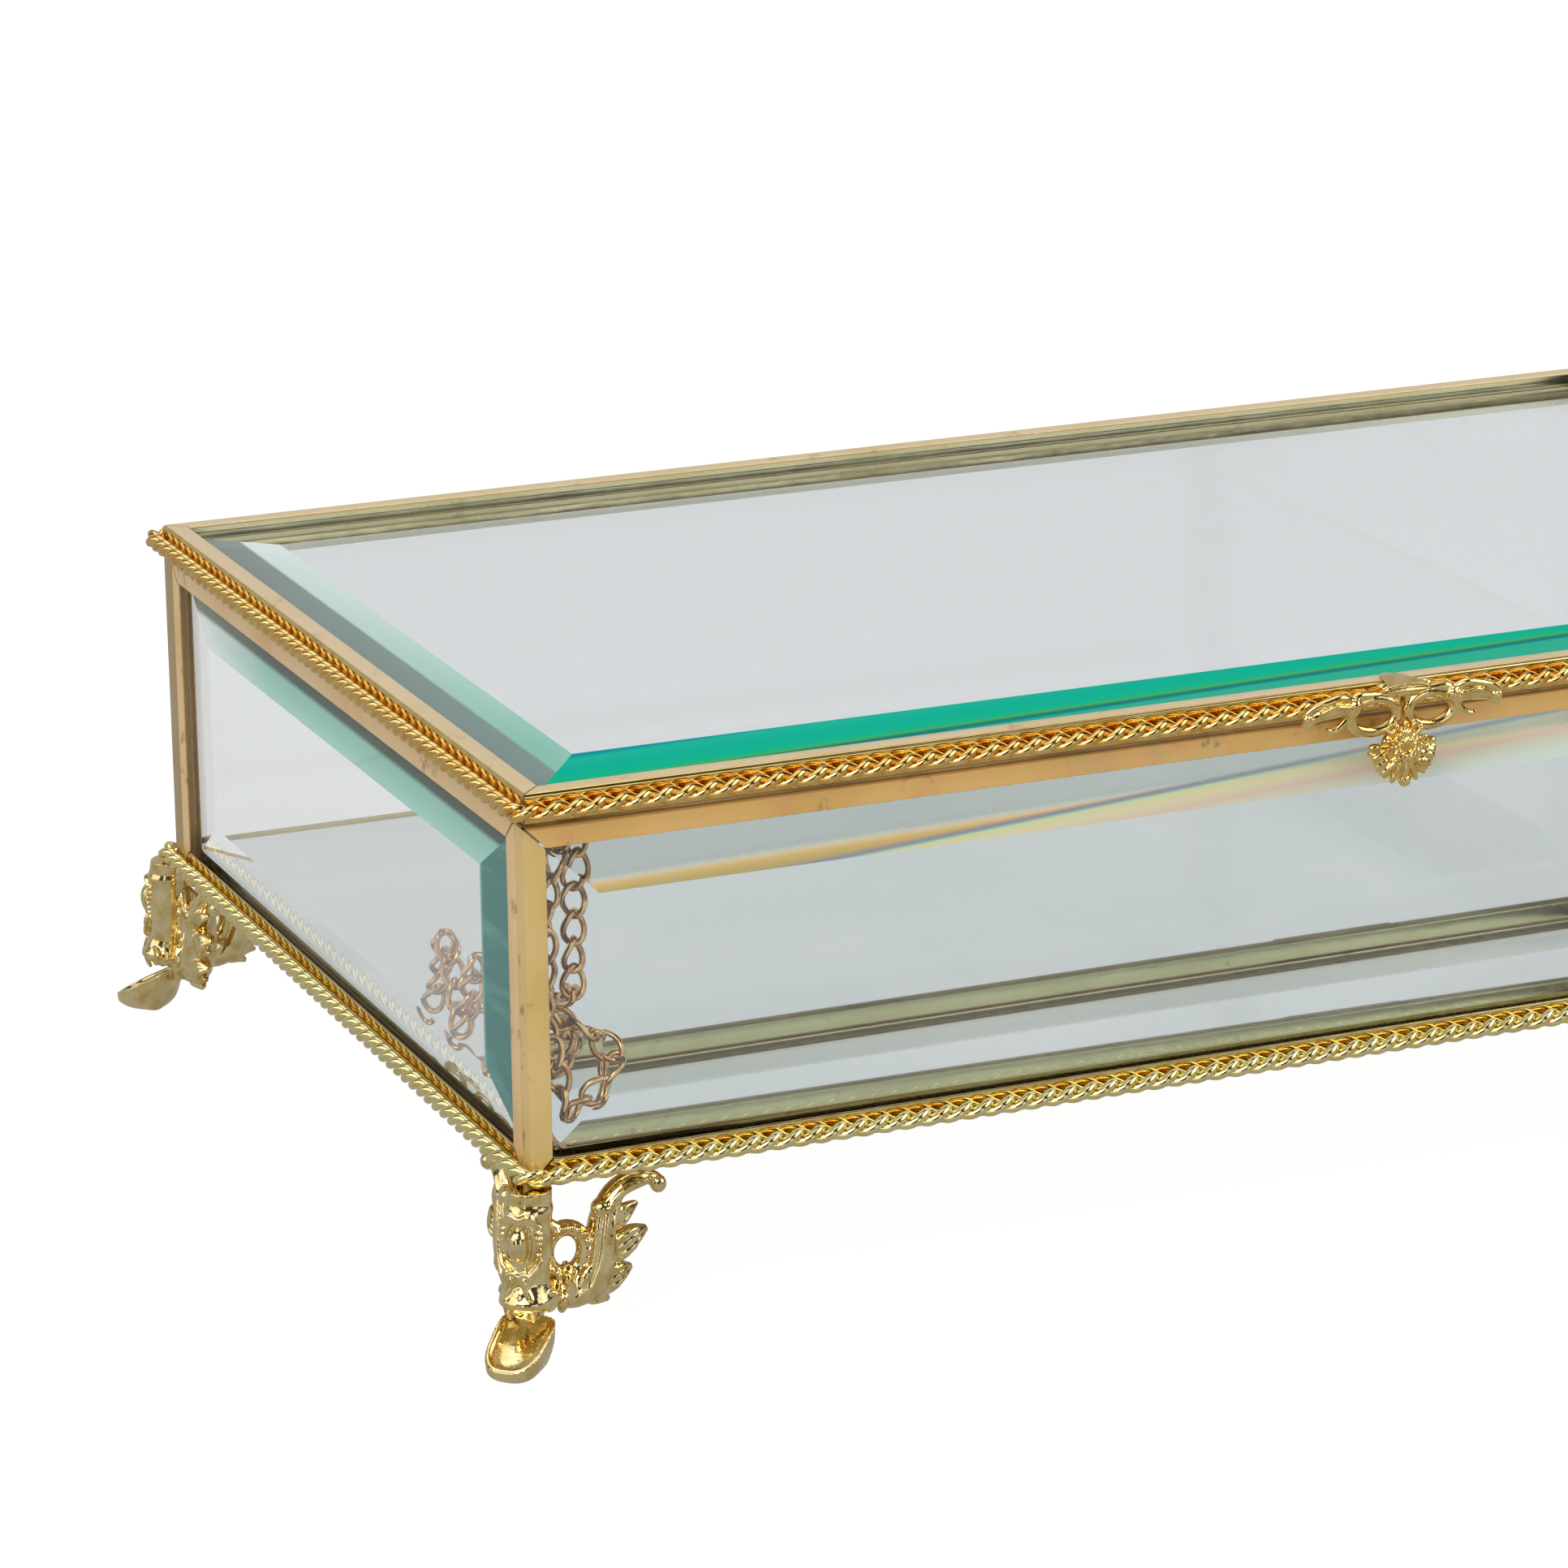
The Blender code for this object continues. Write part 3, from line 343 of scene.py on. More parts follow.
# the gold bands are painted reflections of the brass, and the over set, violet to olive, a painted rainbow glint
FRONT_TOP_BEVEL = ground_bevel(
    "gold_band_bevel", ((0.0, "#C3CAC7"), (0.49, "#C2C8BE"), (0.53, "#C9B184"), (0.56, "#BFA266"),
                        (0.62, "#A8965F"), (0.72, "#9A8A5C"), (0.97, "#958458")),
    0.80, (2.3, 0, 0), 0.23, 1.55, clear_below=0.47,
    over=(((0.43, "#8A8084"), (0.455, "#7C8496"), (0.475, "#7FB096"), (0.50, "#BDBE92"), (0.62, "#C6BE98"),
           (0.74, "#C3AE9C"), (0.86, "#BDBCA4"), (1.0, "#BCC6BC")), (6.5, 0, 0)))


# ---------------------------------------------------------------- mesh helpers

def new_piece(name, points, faces, finish, body, replaced=(), smooth=True, crease=None):
    """One mesh in place, given its finish and hung on its body."""
    mesh = bpy.data.meshes.new(name)
    mesh.from_pydata(np.asarray(points).tolist(), [], [list(map(int, f)) for f in faces])
    mesh.polygons.foreach_set("use_smooth", [smooth] * len(mesh.polygons))
    if crease is not None:
        mesh.set_sharp_from_angle(angle=math.radians(crease))
    mesh.materials.append(finish)
    piece = bpy.data.objects.new(name, mesh)
    bpy.context.scene.collection.objects.link(piece)
    return hang(piece, body, replaced)


def hang(piece, body, replaced=()):
    """The piece rides on a body and stands for the CAD nodes that it replaces."""
    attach(piece, body)
    if replaced:
        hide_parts(*replaced)
    return piece


def grid_faces(rows, columns, wrap_rows=False, wrap_columns=False):
    """Quads of a grid of rows and columns, closed round in either way."""
    r = np.arange(rows if wrap_rows else rows - 1)
    c = np.arange(columns if wrap_columns else columns - 1)
    r, c = [a.ravel() for a in np.meshgrid(r, c, indexing="ij")]
    r2, c2 = (r + 1) % rows, (c + 1) % columns
    return np.stack([r * columns + c, r * columns + c2, r2 * columns + c2, r2 * columns + c], 1)


def unit(vectors):
    """Each vector over its own length."""
    return vectors / np.maximum(np.linalg.norm(vectors, axis=-1, keepdims=True), 1e-12)


def rows_of_rings(rings):
    """Points and faces of a closed skin through rings, (stations, around, 3), with a fan at each end."""
    stations, around = rings.shape[:2]
    points = np.concatenate([rings.reshape(-1, 3), rings[0].mean(0)[None], rings[-1].mean(0)[None]])
    faces = grid_faces(stations, around, wrap_columns=True).tolist()
    first, last = stations * around, stations * around + 1
    ahead = np.arange(around)
    after = (ahead + 1) % around
    faces += np.stack([after, ahead, np.full(around, first)], 1).tolist()
    base = (stations - 1) * around
    faces += np.stack([base + ahead, base + after, np.full(around, last)], 1).tolist()
    return points, faces


def carried_frames(path):
    """Two directions square to a path at each of its points, carried along without twist."""
    tangent = unit(np.gradient(path, axis=0))
    start = np.array([0.0, 0.0, 1.0]) if abs(tangent[0][2]) < 0.9 else np.array([1.0, 0.0, 0.0])
    sides = []
    side = unit(start - tangent[0] * (start @ tangent[0]))
    for t in tangent:
        side = unit(side - t * (side @ t))
        sides.append(side)
    sides = np.array(sides)
    return sides, np.cross(tangent, sides)


def through(points, count):
    """A smooth path of count points through the given ones: each stretch is a cubic with averaged end slopes."""
    points = np.asarray(points, float)
    slopes = np.gradient(points, axis=0)
    t = np.linspace(0, len(points) - 1, count)
    i = np.minimum(t.astype(int), len(points) - 2)
    u = (t - i)[:, None]
    a, b, ma, mb = points[i], points[i + 1], slopes[i], slopes[i + 1]
    return ((2 * u ** 3 - 3 * u ** 2 + 1) * a + (u ** 3 - 2 * u ** 2 + u) * ma
            + (3 * u ** 2 - 2 * u ** 3) * b + (u ** 3 - u ** 2) * mb)


def stem(points, radii, count=24, around=14, flat=1.0):
    """Tapered rod: a circle whose radius follows the radii along a smooth path, flattened across the second way."""
    path = through(points, count)
    radius = np.interp(np.linspace(0, len(radii) - 1, count), np.arange(len(radii)), radii)
    side, other = carried_frames(path)
    turn = np.linspace(0, 2 * math.pi, around, endpoint=False)
    rings = (path[:, None] + radius[:, None, None] * (np.cos(turn)[None, :, None] * side[:, None]
                                                      + flat * np.sin(turn)[None, :, None] * other[:, None]))
    return rows_of_rings(rings)


def egg(centre, ways, radii, rows=10, around=14):
    """Ellipsoid from three square directions and three radii."""
    polar = np.linspace(0.12, math.pi - 0.12, rows)
    turn = np.linspace(0, 2 * math.pi, around, endpoint=False)
    a, b, c = [np.asarray(w, float) * r for w, r in zip(ways, radii)]
    rings = (np.asarray(centre, float) + np.cos(polar)[:, None, None] * a
             + np.sin(polar)[:, None, None] * (np.cos(turn)[None, :, None] * b + np.sin(turn)[None, :, None] * c))
    return rows_of_rings(rings)


def hoop(centre, across, up, half_width, half_height, wire, around=28, section=8):
    """Oval ring of round wire in the plane of two directions."""
    across, up = np.asarray(across, float), np.asarray(up, float)
    turn = np.linspace(0, 2 * math.pi, around, endpoint=False)
    out = np.cos(turn)[:, None] * across * half_width + np.sin(turn)[:, None] * up * half_height
    normal = unit(np.cross(across, up))
    away = unit(np.cos(turn)[:, None] * across * half_height + np.sin(turn)[:, None] * up * half_width)
    roll = np.linspace(0, 2 * math.pi, section, endpoint=False)
    points = (np.asarray(centre, float) + out[:, None]
              + wire * (np.cos(roll)[None, :, None] * away[:, None] + np.sin(roll)[None, :, None] * normal))
    return points.reshape(-1, 3), grid_faces(around, section, True, True).tolist()


def gathered(parts):
    """Several point and face lists as one."""
    points, faces, start = [], [], 0
    for p, f in parts:
        points.append(np.asarray(p))
        faces += [[int(i) + start for i in face] for face in f]
        start += len(p)
    return np.concatenate(points), faces


def fused_casting(name, parts, grain, melt):
    """Mesh of overlapping parts melted into one skin: voxels of the given grain, then smoothing passes."""
    points, faces = gathered(parts)
    mesh = bpy.data.meshes.new(name)
    mesh.from_pydata(points.tolist(), [], faces)
    shape = bmesh.new()
    shape.from_mesh(mesh)
    bmesh.ops.recalc_face_normals(shape, faces=shape.faces)
    shape.to_mesh(mesh)
    shape.free()
    rough = bpy.data.objects.new(name, mesh)
    bpy.context.scene.collection.objects.link(rough)
    remesh = rough.modifiers.new("melt", "REMESH")
    remesh.mode = "VOXEL"
    remesh.voxel_size = grain
    relax = rough.modifiers.new("relax", "SMOOTH")
    relax.factor = 0.5
    relax.iterations = melt
    bpy.context.view_layer.update()
    fused = bpy.data.meshes.new_from_object(rough.evaluated_get(bpy.context.evaluated_depsgraph_get()))
    bpy.data.objects.remove(rough)
    fused.name = name
    fused.polygons.foreach_set("use_smooth", [True] * len(fused.polygons))
    return fused


# ---------------------------------------------------------------- folded channels

OUTER_BEND = 0.55 * MM
INNER_BEND = 0.15 * MM


def channel_profile(depth, flange, inner):
    """Section of a folded channel, across the glass and inwards: quarter circles at the bends and half circles at the
    rolled lips, joined by straights. flange and inner are the widths of its outer and inner sides."""
    bend, lip = OUTER_BEND, BRASS / 2
    line = []

    def turn(cx, cy, radius, start, end, steps):
        """An arc about a centre, between two angles in degrees."""
        for a in np.radians(np.linspace(start, end, steps)):
            line.append((cx + radius * math.cos(a), cy + radius * math.sin(a)))

    turn(bend, bend, bend, 180, 270, 7)
    turn(depth - bend, bend, bend, 270, 360, 7)
    turn(depth - lip, inner - lip, lip, 0, 180, 6)
    turn(depth - BRASS - INNER_BEND, BRASS + INNER_BEND, INNER_BEND, 360, 270, 3)
    turn(BRASS + INNER_BEND, BRASS + INNER_BEND, INNER_BEND, 270, 180, 3)
    turn(lip, flange - lip, lip, 0, 180, 6)
    return np.array(line)


LOW_LIP = 1.4 * MM      # the bottom rails fold shorter behind the glass, where the mirror lies


def channel(name, corner, along, inward, across, length, depth, flange, finish, body, web=None, inside=None):
    """Folded channel with mitred ends: its section carried straight along, cut back at each end as it goes inwards.
    web is the finish of its outer side and of the bend above it, and inside that of the flange behind the glass,
    where they are not the same."""
    section = channel_profile(depth, flange, flange - LOW_LIP if inside is DARK_INNER_FLANGE_BRASS else flange)
    corner, along, inward, across = [np.asarray(v, float) for v in (corner, along, inward, across)]
    u, v = section[:, 0], section[:, 1]
    share = np.linspace(0, 1, 9)[:, None]
    start = v + GAP / math.sqrt(2)
    end = length - v - GAP / math.sqrt(2)
    w = start + (end - start) * share
    rings = corner + w[..., None] * along + (v[:, None] * inward + u[:, None] * across)[None]
    count = len(section)
    faces = grid_faces(len(share), count, wrap_columns=True).tolist()
    faces += [list(range(count))[::-1], list(range((len(share) - 1) * count, len(share) * count))]
    if np.dot(np.cross(across, inward), along) > 0:
        faces = [f[::-1] for f in faces]
    made = new_piece(name + "_folded", rings.reshape(-1, 3), faces, finish, body, (name,), crease=40)
    column = np.arange(len(faces)) % count
    column[-2:] = 0
    # strips 1 to 11 of the section are the bend and the outer side, and 12 to 22 are the lip and the inner side
    kind = np.zeros(len(faces), np.int32)
    for other, first, last in ((web, 1, 12), (inside, 12, 23)):
        if other:
            kind[(column >= first) & (column < last)] = len(made.data.materials)
            made.data.materials.append(other)
    made.data.polygons.foreach_set("material_index", kind)
    return made


def channels():
    """The sixteen body channels and the four of the lid, each in its CAD node's place. The bottom rails and the outer
    sides of the lid are mirror bright behind the ropes."""
    up, right, back = np.eye(3)[2], np.eye(3)[0], np.eye(3)[1]
    side_start = HALF_DEPTH - CHANNEL_DEPTH - GAP
    height = BODY_TOP - FRAME_BOTTOM
    names = ("_bottom_rail", "_top_rail", "_upright_1", "_upright_2")
    sides = (("front", (-HALF_LENGTH, -HALF_DEPTH, FRAME_BOTTOM), right, back, 2 * HALF_LENGTH,
              (TRIM_GOLD, TOP_RAIL_BRASS_PAINTED_LIGHT, FRONT_BRASS_PAINTED_LIGHT, FRONT_BRASS_PAINTED_LIGHT)),
             ("back", (HALF_LENGTH, HALF_DEPTH, FRAME_BOTTOM), -right, -back, 2 * HALF_LENGTH,
              (TRIM_GOLD, BACK_BRASS, BACK_BRASS, BACK_BRASS)),
             ("left", (-HALF_LENGTH, side_start, FRAME_BOTTOM), -back, right, 2 * side_start,
              (TRIM_GOLD, SIDE_BRASS_PAINTED_LIGHT, SIDE_BRASS_PAINTED_LIGHT, SIDE_BRASS_PAINTED_LIGHT)),
             ("right", (HALF_LENGTH, -side_start, FRAME_BOTTOM), back, -right, 2 * side_start,
              (TRIM_GOLD, SIDE_BRASS_PAINTED_LIGHT, SIDE_BRASS_PAINTED_LIGHT, SIDE_BRASS_PAINTED_LIGHT)))
    for side, corner, way, across, width, finishes in sides:
        back_side = (DARK_INNER_FLANGE_BRASS,) + (BOX_INNER_BRASS_PAINTED_LIGHT,) * 3 if side == "back" else (DARK_INNER_FLANGE_BRASS, None, None, None)
        four_channels(side, names, np.array(corner), way, up, across, width, height, CHANNEL_DEPTH, BODY_FLANGE,
                      finishes, "box", insides=back_side)
    names = ("_front_rail", "_back_rail", "_left_rail", "_right_rail")
    four_channels("lid", names, np.array((-HALF_LENGTH, -HALF_DEPTH, LID_TOP)), right, back, -up, 2 * HALF_LENGTH,
                  2 * HALF_DEPTH, LID_TOP - LID_BOTTOM, LID_FLANGE, (LID_BRASS,) * 4, "lid", TRIM_GOLD,
                  (LID_INNER_FLANGE_PAINTED_LIGHT,) * 4)


def four_channels(prefix, names, corner, right, up, across, width, height, depth, flange, finishes, body, web=None,
                  insides=(None,) * 4):
    """The two rails and two uprights round one pane."""
    corners = (corner, corner + up * height, corner, corner + right * width)
    runs = ((right, up, width), (right, -up, width), (up, right, height), (up, -right, height))
    for label, start, (along, inward, length), finish, inside in zip(names, corners, runs, finishes, insides):
        channel(prefix + label, start, along, inward, across, length, depth, flange, finish, body, web, inside)


# ---------------------------------------------------------------- bevelled panes

def pane(node, corner, right, up, across, width, height, thickness, side, level, drop, finishes, body):
    """Pane with four ground facets: nested rectangles from the flat, over the bevels and the arris, to the back.
    finishes are those of the flat and of the bottom or front, top or back, left and right facets."""
    corner, right, up, across = [np.asarray(v, float) for v in (corner, right, up, across)]
    arris = 0.12 * MM

    def ring(inset_x, inset_y, depth):
        """Four corners of a rectangle set in from the pane's edges, at a depth below its face."""
        return [corner + right * x + up * y + across * depth
                for x, y in ((inset_x, inset_y), (width - inset_x, inset_y), (width - inset_x, height - inset_y),
                             (inset_x, height - inset_y))]

    levels = (ring(side, level, 0.0), ring(arris, arris, drop), ring(0.0, 0.0, drop + arris),
              ring(0.0, 0.0, thickness - arris), ring(arris, arris, thickness))
    points = np.array([p for lv in levels for p in lv])
    faces = [[0, 1, 2, 3]]
    facet = [0]
    for k in range(4):
        for i in range(4):
            j = (i + 1) % 4
            faces.append([k * 4 + i, (k + 1) * 4 + i, (k + 1) * 4 + j, k * 4 + j])
            facet.append((1, 4, 2, 3)[i] if k < 2 else 0)
    faces.append([19, 18, 17, 16])
    facet.append(0)
    if np.dot(np.cross(right, up), across) > 0:
        faces = [f[::-1] for f in faces]
    made = new_piece(node + "_bevelled", points, faces, finishes[0], body, (node,), smooth=False)
    kinds = list(dict.fromkeys(finishes))
    for kind in kinds[1:]:
        made.data.materials.append(kind)
    made.data.polygons.foreach_set("material_index", [kinds.index(finishes[k]) for k in facet])
    share = made.data.attributes.new("across", "FLOAT", "POINT")
    share.data.foreach_set("value", np.repeat([1.0, 0.0, 0.0, 0.0, 0.0], 4))
    return made


def panes():
    """Five panes. The left and right ones are alike, with the near facet the one that carries the dark painted light.
    """
    inset = BRASS + GAP
    up, right, back = np.eye(3)[2], np.eye(3)[0], np.eye(3)[1]
    side_start = HALF_DEPTH - CHANNEL_DEPTH - GAP
    height = BODY_TOP - FRAME_BOTTOM - 2 * inset
    thick = CHANNEL_DEPTH - 2 * inset
    level = 9.5 * MM
    drop = 1.1 * MM
    for side, corner, way, across, width, bevel, finishes in (
            ("front", (-HALF_LENGTH, -HALF_DEPTH, FRAME_BOTTOM), right, back, 2 * HALF_LENGTH, 10.5,
             (FRONT_PANE, FRONT_PANE, FRONT_TOP_BEVEL, FRONT_PANE, FRONT_PANE)),
            ("back", (HALF_LENGTH, HALF_DEPTH, FRAME_BOTTOM), -right, -back, 2 * HALF_LENGTH, 10.5,
             (FRONT_PANE,) * 5),
            ("left", (-HALF_LENGTH, side_start, FRAME_BOTTOM), -back, right, 2 * side_start, 15.0,
             (SIDE_PANE, SIDE_PANE, SIDE_TOP_BEVEL, SIDE_PANE, SIDE_NEAR_BEVEL)),
            ("right", (HALF_LENGTH, -side_start, FRAME_BOTTOM), back, -right, 2 * side_start, 15.0,
             (SIDE_PANE, SIDE_PANE, SIDE_TOP_BEVEL, SIDE_NEAR_BEVEL, SIDE_PANE))):
        start = np.array(corner) + way * inset + up * inset + across * inset
        pane(side + "_glass", start, way, up, across, width - 2 * inset, height, thick, bevel * MM - inset, level,
             drop, finishes, "box")
    start = np.array((-HALF_LENGTH, -HALF_DEPTH, LID_TOP)) + right * inset + back * inset - up * inset
    pane("lid_glass", start, right, back, -up, 2 * HALF_LENGTH - 2 * inset, 2 * HALF_DEPTH - 2 * inset,
         LID_TOP - LID_BOTTOM - 2 * inset, 12.5 * MM, 16.0 * MM, drop,
         (LID_PANE, LID_FRONT_BEVEL, LID_BACK_BEVEL, LID_SIDE_BEVEL, LID_SIDE_BEVEL), "lid")


# ---------------------------------------------------------------- twisted ropes

ROPE_RADIUS = 1.3 * MM
ROPE_CORNER = 2.2 * MM
ROPE_LAY = 6.2 * MM
ROPE_STEP = 0.36 * MM
ROPE_TAIL = 9.0 * MM
WIRE_SHARE = 0.53       # radius of one wire over that of the rope: a little over half, so that the two wires touch
WIRE_SIDES = 10


def rope_path(height, gap_at_back):
    """Points of the rope's centre line at even steps, with the outward direction at each: a rectangle with round
    corners, closed, or open at the back with short tails."""
    out = ROPE_RADIUS + GAP
    cx, cy = HALF_LENGTH + out - ROPE_CORNER, HALF_DEPTH + out - ROPE_CORNER
    quarter = np.radians(np.linspace(0, 90, 9))
    line = []
    for sx, sy, start in ((-1, 1, 90), (-1, -1, 180), (1, -1, 270), (1, 1, 0)):
        a = math.radians(start) + quarter
        line.append(np.stack([sx * cx + ROPE_CORNER * np.cos(a), sy * cy + ROPE_CORNER * np.sin(a)], 1))
    line = np.concatenate(line)
    if gap_at_back:
        end = HALF_LENGTH - ROPE_TAIL
        line = np.concatenate([[[-end, cy + ROPE_CORNER]], line, [[end, cy + ROPE_CORNER]]])
    else:
        line = np.concatenate([line, line[:1]])
    reach = np.concatenate([[0], np.cumsum(np.linalg.norm(np.diff(line, axis=0), axis=1))])
    turns = round(reach[-1] / ROPE_LAY)
    count = int(turns * round(ROPE_LAY / ROPE_STEP)) + (1 if gap_at_back else 0)
    s = np.linspace(0, reach[-1], count, endpoint=gap_at_back)
    flat = np.stack([np.interp(s, reach, line[:, 0]), np.interp(s, reach, line[:, 1])], 1)
    path = np.concatenate([flat, np.full((count, 1), height)], 1)
    if gap_at_back:
        tangent = unit(np.gradient(path, axis=0))
    else:
        tangent = unit(np.roll(path, -1, 0) - np.roll(path, 1, 0))
    outward = np.cross(tangent, [0.0, 0.0, 1.0])
    phase = 2 * math.pi * turns * s / reach[-1]
    return path, outward, phase


def twisted_rope(name, height, gap_at_back, finish, body):
    """Two wires laid round each other: each wire's centre circles the rope's line once in every lay."""
    path, outward, phase = rope_path(height, gap_at_back)
    up = np.array([0.0, 0.0, 1.0])
    wire = ROPE_RADIUS * WIRE_SHARE
    parts = []
    for strand in (0.0, math.pi):
        away = np.cos(phase + strand)[:, None] * outward + np.sin(phase + strand)[:, None] * up
        centre = path + away * (ROPE_RADIUS - wire)
        if gap_at_back:
            tangent = unit(np.gradient(centre, axis=0))
        else:
            tangent = unit(np.roll(centre, -1, 0) - np.roll(centre, 1, 0))
        side = unit(away - tangent * (away * tangent).sum(1)[:, None])
        other = np.cross(tangent, side)
        roll = np.linspace(0, 2 * math.pi, WIRE_SIDES, endpoint=False)
        rings = centre[:, None] + wire * (np.cos(roll)[None, :, None] * side[:, None]
                                          + np.sin(roll)[None, :, None] * other[:, None])
        if gap_at_back:
            parts.append(rows_of_rings(rings))
        else:
            parts.append((rings.reshape(-1, 3), grid_faces(len(rings), WIRE_SIDES, True, True).tolist()))
    points, faces = gathered(parts)
    return new_piece(name + "_twisted", points, faces, finish, body, (name,))


# ---------------------------------------------------------------- cast feet

FOOT_GRAIN = 0.16 * MM
COLUMN_RISE = 1.0 * MM      # the column runs on beside the frame, above the CAD foot


def foot_parts():
    """One foot for the front left corner, in millimetres: x and y from the corner, z above the ground.

    Parts are made for the wing along the front, then repeated with x and y changed over for the wing along the side.
    """
    out = np.array([-1.0, -1.0, 0.0]) / math.sqrt(2)
    cross = np.array([1.0, -1.0, 0.0]) / math.sqrt(2)
    up = np.array([0.0, 0.0, 1.0])
    middle = []
    # column: turned, with a soft collar, and cut off behind the toe; height, radius and lean of each ring
    levels = ((25.3, 2.3, 0.6), (24.9, 2.8, 0.9), (24.3, 3.0, 1.05), (23.4, 3.05, 1.15), (22.6, 3.05, 1.3),
              (22.1, 3.2, 1.4), (21.6, 3.3, 1.45),
              (21.1, 3.2, 1.5), (20.4, 3.1, 1.5), (18.0, 3.2, 1.5), (15.5, 3.2, 1.6), (13.5, 3.0, 1.7),
              (12.0, 3.0, 1.9), (10.8, 3.3, 2.2), (9.8, 3.7, 2.4), (9.1, 3.8, 2.4), (8.5, 3.4, 2.2), (8.1, 2.6, 1.6),
              (7.2, 1.5, 0.5), (5.0, 1.2, 0.6))
    turn = np.linspace(0, 2 * math.pi, 24, endpoint=False)
    rings = np.array([out * lean + up * z + radius * (np.cos(turn)[:, None] * out + np.sin(turn)[:, None] * cross)
                      for z, radius, lean in levels])
    middle.append(rows_of_rings(rings))
    # oval boss in its frame, with two brows above it
    face = out * 4.65 + up * 17.7
    middle.append(egg(face, (up, cross, out), (2.5, 1.45, 1.7)))
    middle.append(hoop(face - out * 0.2, cross, up, 2.1, 3.2, 0.34))
    for rise, reach in ((20.9, 2.1), (21.5, 2.7)):
        middle.append(stem([out * 3.6 - cross * reach + up * (rise - 1.6),
                            out * 4.5 - cross * reach * 0.55 + up * rise,
                            out * 4.75 + up * (rise - 0.35), out * 4.5 + cross * reach * 0.55 + up * rise,
                            out * 3.6 + cross * reach + up * (rise - 1.6)], (0.3, 0.42, 0.36, 0.42, 0.3), 24, 8))
    for sign in (-1, 1):
        for k in range(7):
            spot = out * 3.75 + cross * sign * (2.55 + 0.12 * math.sin(k)) + up * (20.1 - 0.78 * k)
            middle.append(egg(spot, (up, cross, out), (0.30, 0.52, 0.45), 6, 8))
        # two little scrolls side by side under the boss, and the leaf edges that run down from them
        curl = out * 4.75 + cross * sign * 0.95 + up * 12.9
        middle.append(egg(curl, (up, cross, out), (0.55, 0.55, 0.75), 8, 10))
        middle.append(hoop(curl + out * 0.25, cross, up, 0.85, 0.8, 0.3, 20, 8))
        middle.append(stem([out * 4.6 + cross * sign * 1.7 + up * 13.6, out * 4.4 + cross * sign * 2.5 + up * 14.6,
                            out * 3.9 + cross * sign * 3.0 + up * 15.8], (0.45, 0.4, 0.3), 12, 8))
        middle.append(stem([out * 4.9 + cross * sign * 0.9 + up * 11.9, out * 5.0 + cross * sign * 1.75 + up * 10.2,
                            out * 4.7 + cross * sign * 2.0 + up * 8.4, out * 4.3 + cross * sign * 1.6 + up * 7.0],
                           (0.32, 0.42, 0.42, 0.3), 18, 8))
    middle.append(egg(out * 4.7 + up * 9.6, (up, cross, out), (2.3, 1.5, 1.15), 12, 14))
    middle.append(toe())
    wing = wing_parts()
    swapped = [(np.asarray(p)[:, [1, 0, 2]], [f[::-1] for f in faces]) for p, faces in wing]
    return middle + wing + swapped


def toe():
    """Polar grid of an egg-shaped spoon along the diagonal: its rim runs straight down from under the neck to the tip,
    round a shallow hollow, and its underside is a blunt wedge that is flat on the ground."""
    out = np.array([-1.0, -1.0, 0.0]) / math.sqrt(2)
    cross = np.array([1.0, -1.0, 0.0]) / math.sqrt(2)
    share = np.concatenate([np.linspace(0.0, 0.76, 6), np.linspace(0.80, 1.0, 7)])
    turn = np.linspace(0, 2 * math.pi, 48, endpoint=False)
    r, a = np.meshgrid(share, turn, indexing="ij")
    # the end under the neck is nearly square, the tip is round
    power = np.where(np.cos(a) < 0, 6.0, 2.7)
    square = (np.abs(np.cos(a)) ** power + np.abs(np.sin(a)) ** power) ** (-1 / power)
    along = 5.9 + 4.7 * np.cos(a) * r * square
    side = (3.95 - 0.2 * np.cos(a)) * np.sin(a) * r * square
    rim = 6.9 - 0.52 * (along - 1.2)
    lip = 0.45 * np.exp(-((r - 0.88) / 0.07) ** 2) * np.clip((along - 2.0) / 2.0, 0.0, 1.0)
    upper = rim + lip - 1.1 * (1 - r ** 3) ** 0.8
    lower = np.maximum((rim - 0.8) * r ** 5 * 0.9 - 0.2, 0.0)
    sheets = []
    for height in (upper, lower[::-1]):
        flip = height is not upper
        al = along[::-1] if flip else along
        si = side[::-1] if flip else side
        sheets.append(al[..., None] * out + si[..., None] * cross + height[..., None] * np.array([0, 0, 1.0]))
    skin = np.concatenate([sheets[0], sheets[1][1:]])
    return rows_of_rings(skin[1:-1])


def leaf_lobe(at, base, tip, width):
    """Fluted leaf: a flat pointed blade from its base to its tip, with three flutes that run together at the tip."""
    b, t = np.array(base), np.array(tip)
    way = t - b
    normal = np.array([-way[1], way[0]]) / np.linalg.norm(way)
    blade = [stem([at(*(b + way * k + normal * width * lift), 0.5) for k, lift in
                   ((0, -0.1), (0.35, 0.15), (0.7, 0.2), (1.0, -0.1))],
                  (0.6 * width, 0.85 * width, 0.68 * width, 0.3 * width), 18, 12)]
    for offset in (-0.55, 0.0, 0.55):
        line = [at(*(b + way * k + normal * width * (offset * spread + lift)), rise) for k, spread, lift, rise in
                ((0, 0.6, -0.1, 0.9), (0.35, 1.1, 0.15, 0.5 + 0.8 * width), (0.7, 0.8, 0.2, 0.5 + 0.65 * width),
                 (1.03, 0.15, -0.12, 0.6))]
        blade.append(stem(line, (0.28 * width, 0.34 * width, 0.3 * width, 0.18 * width), 18, 8))
    return blade


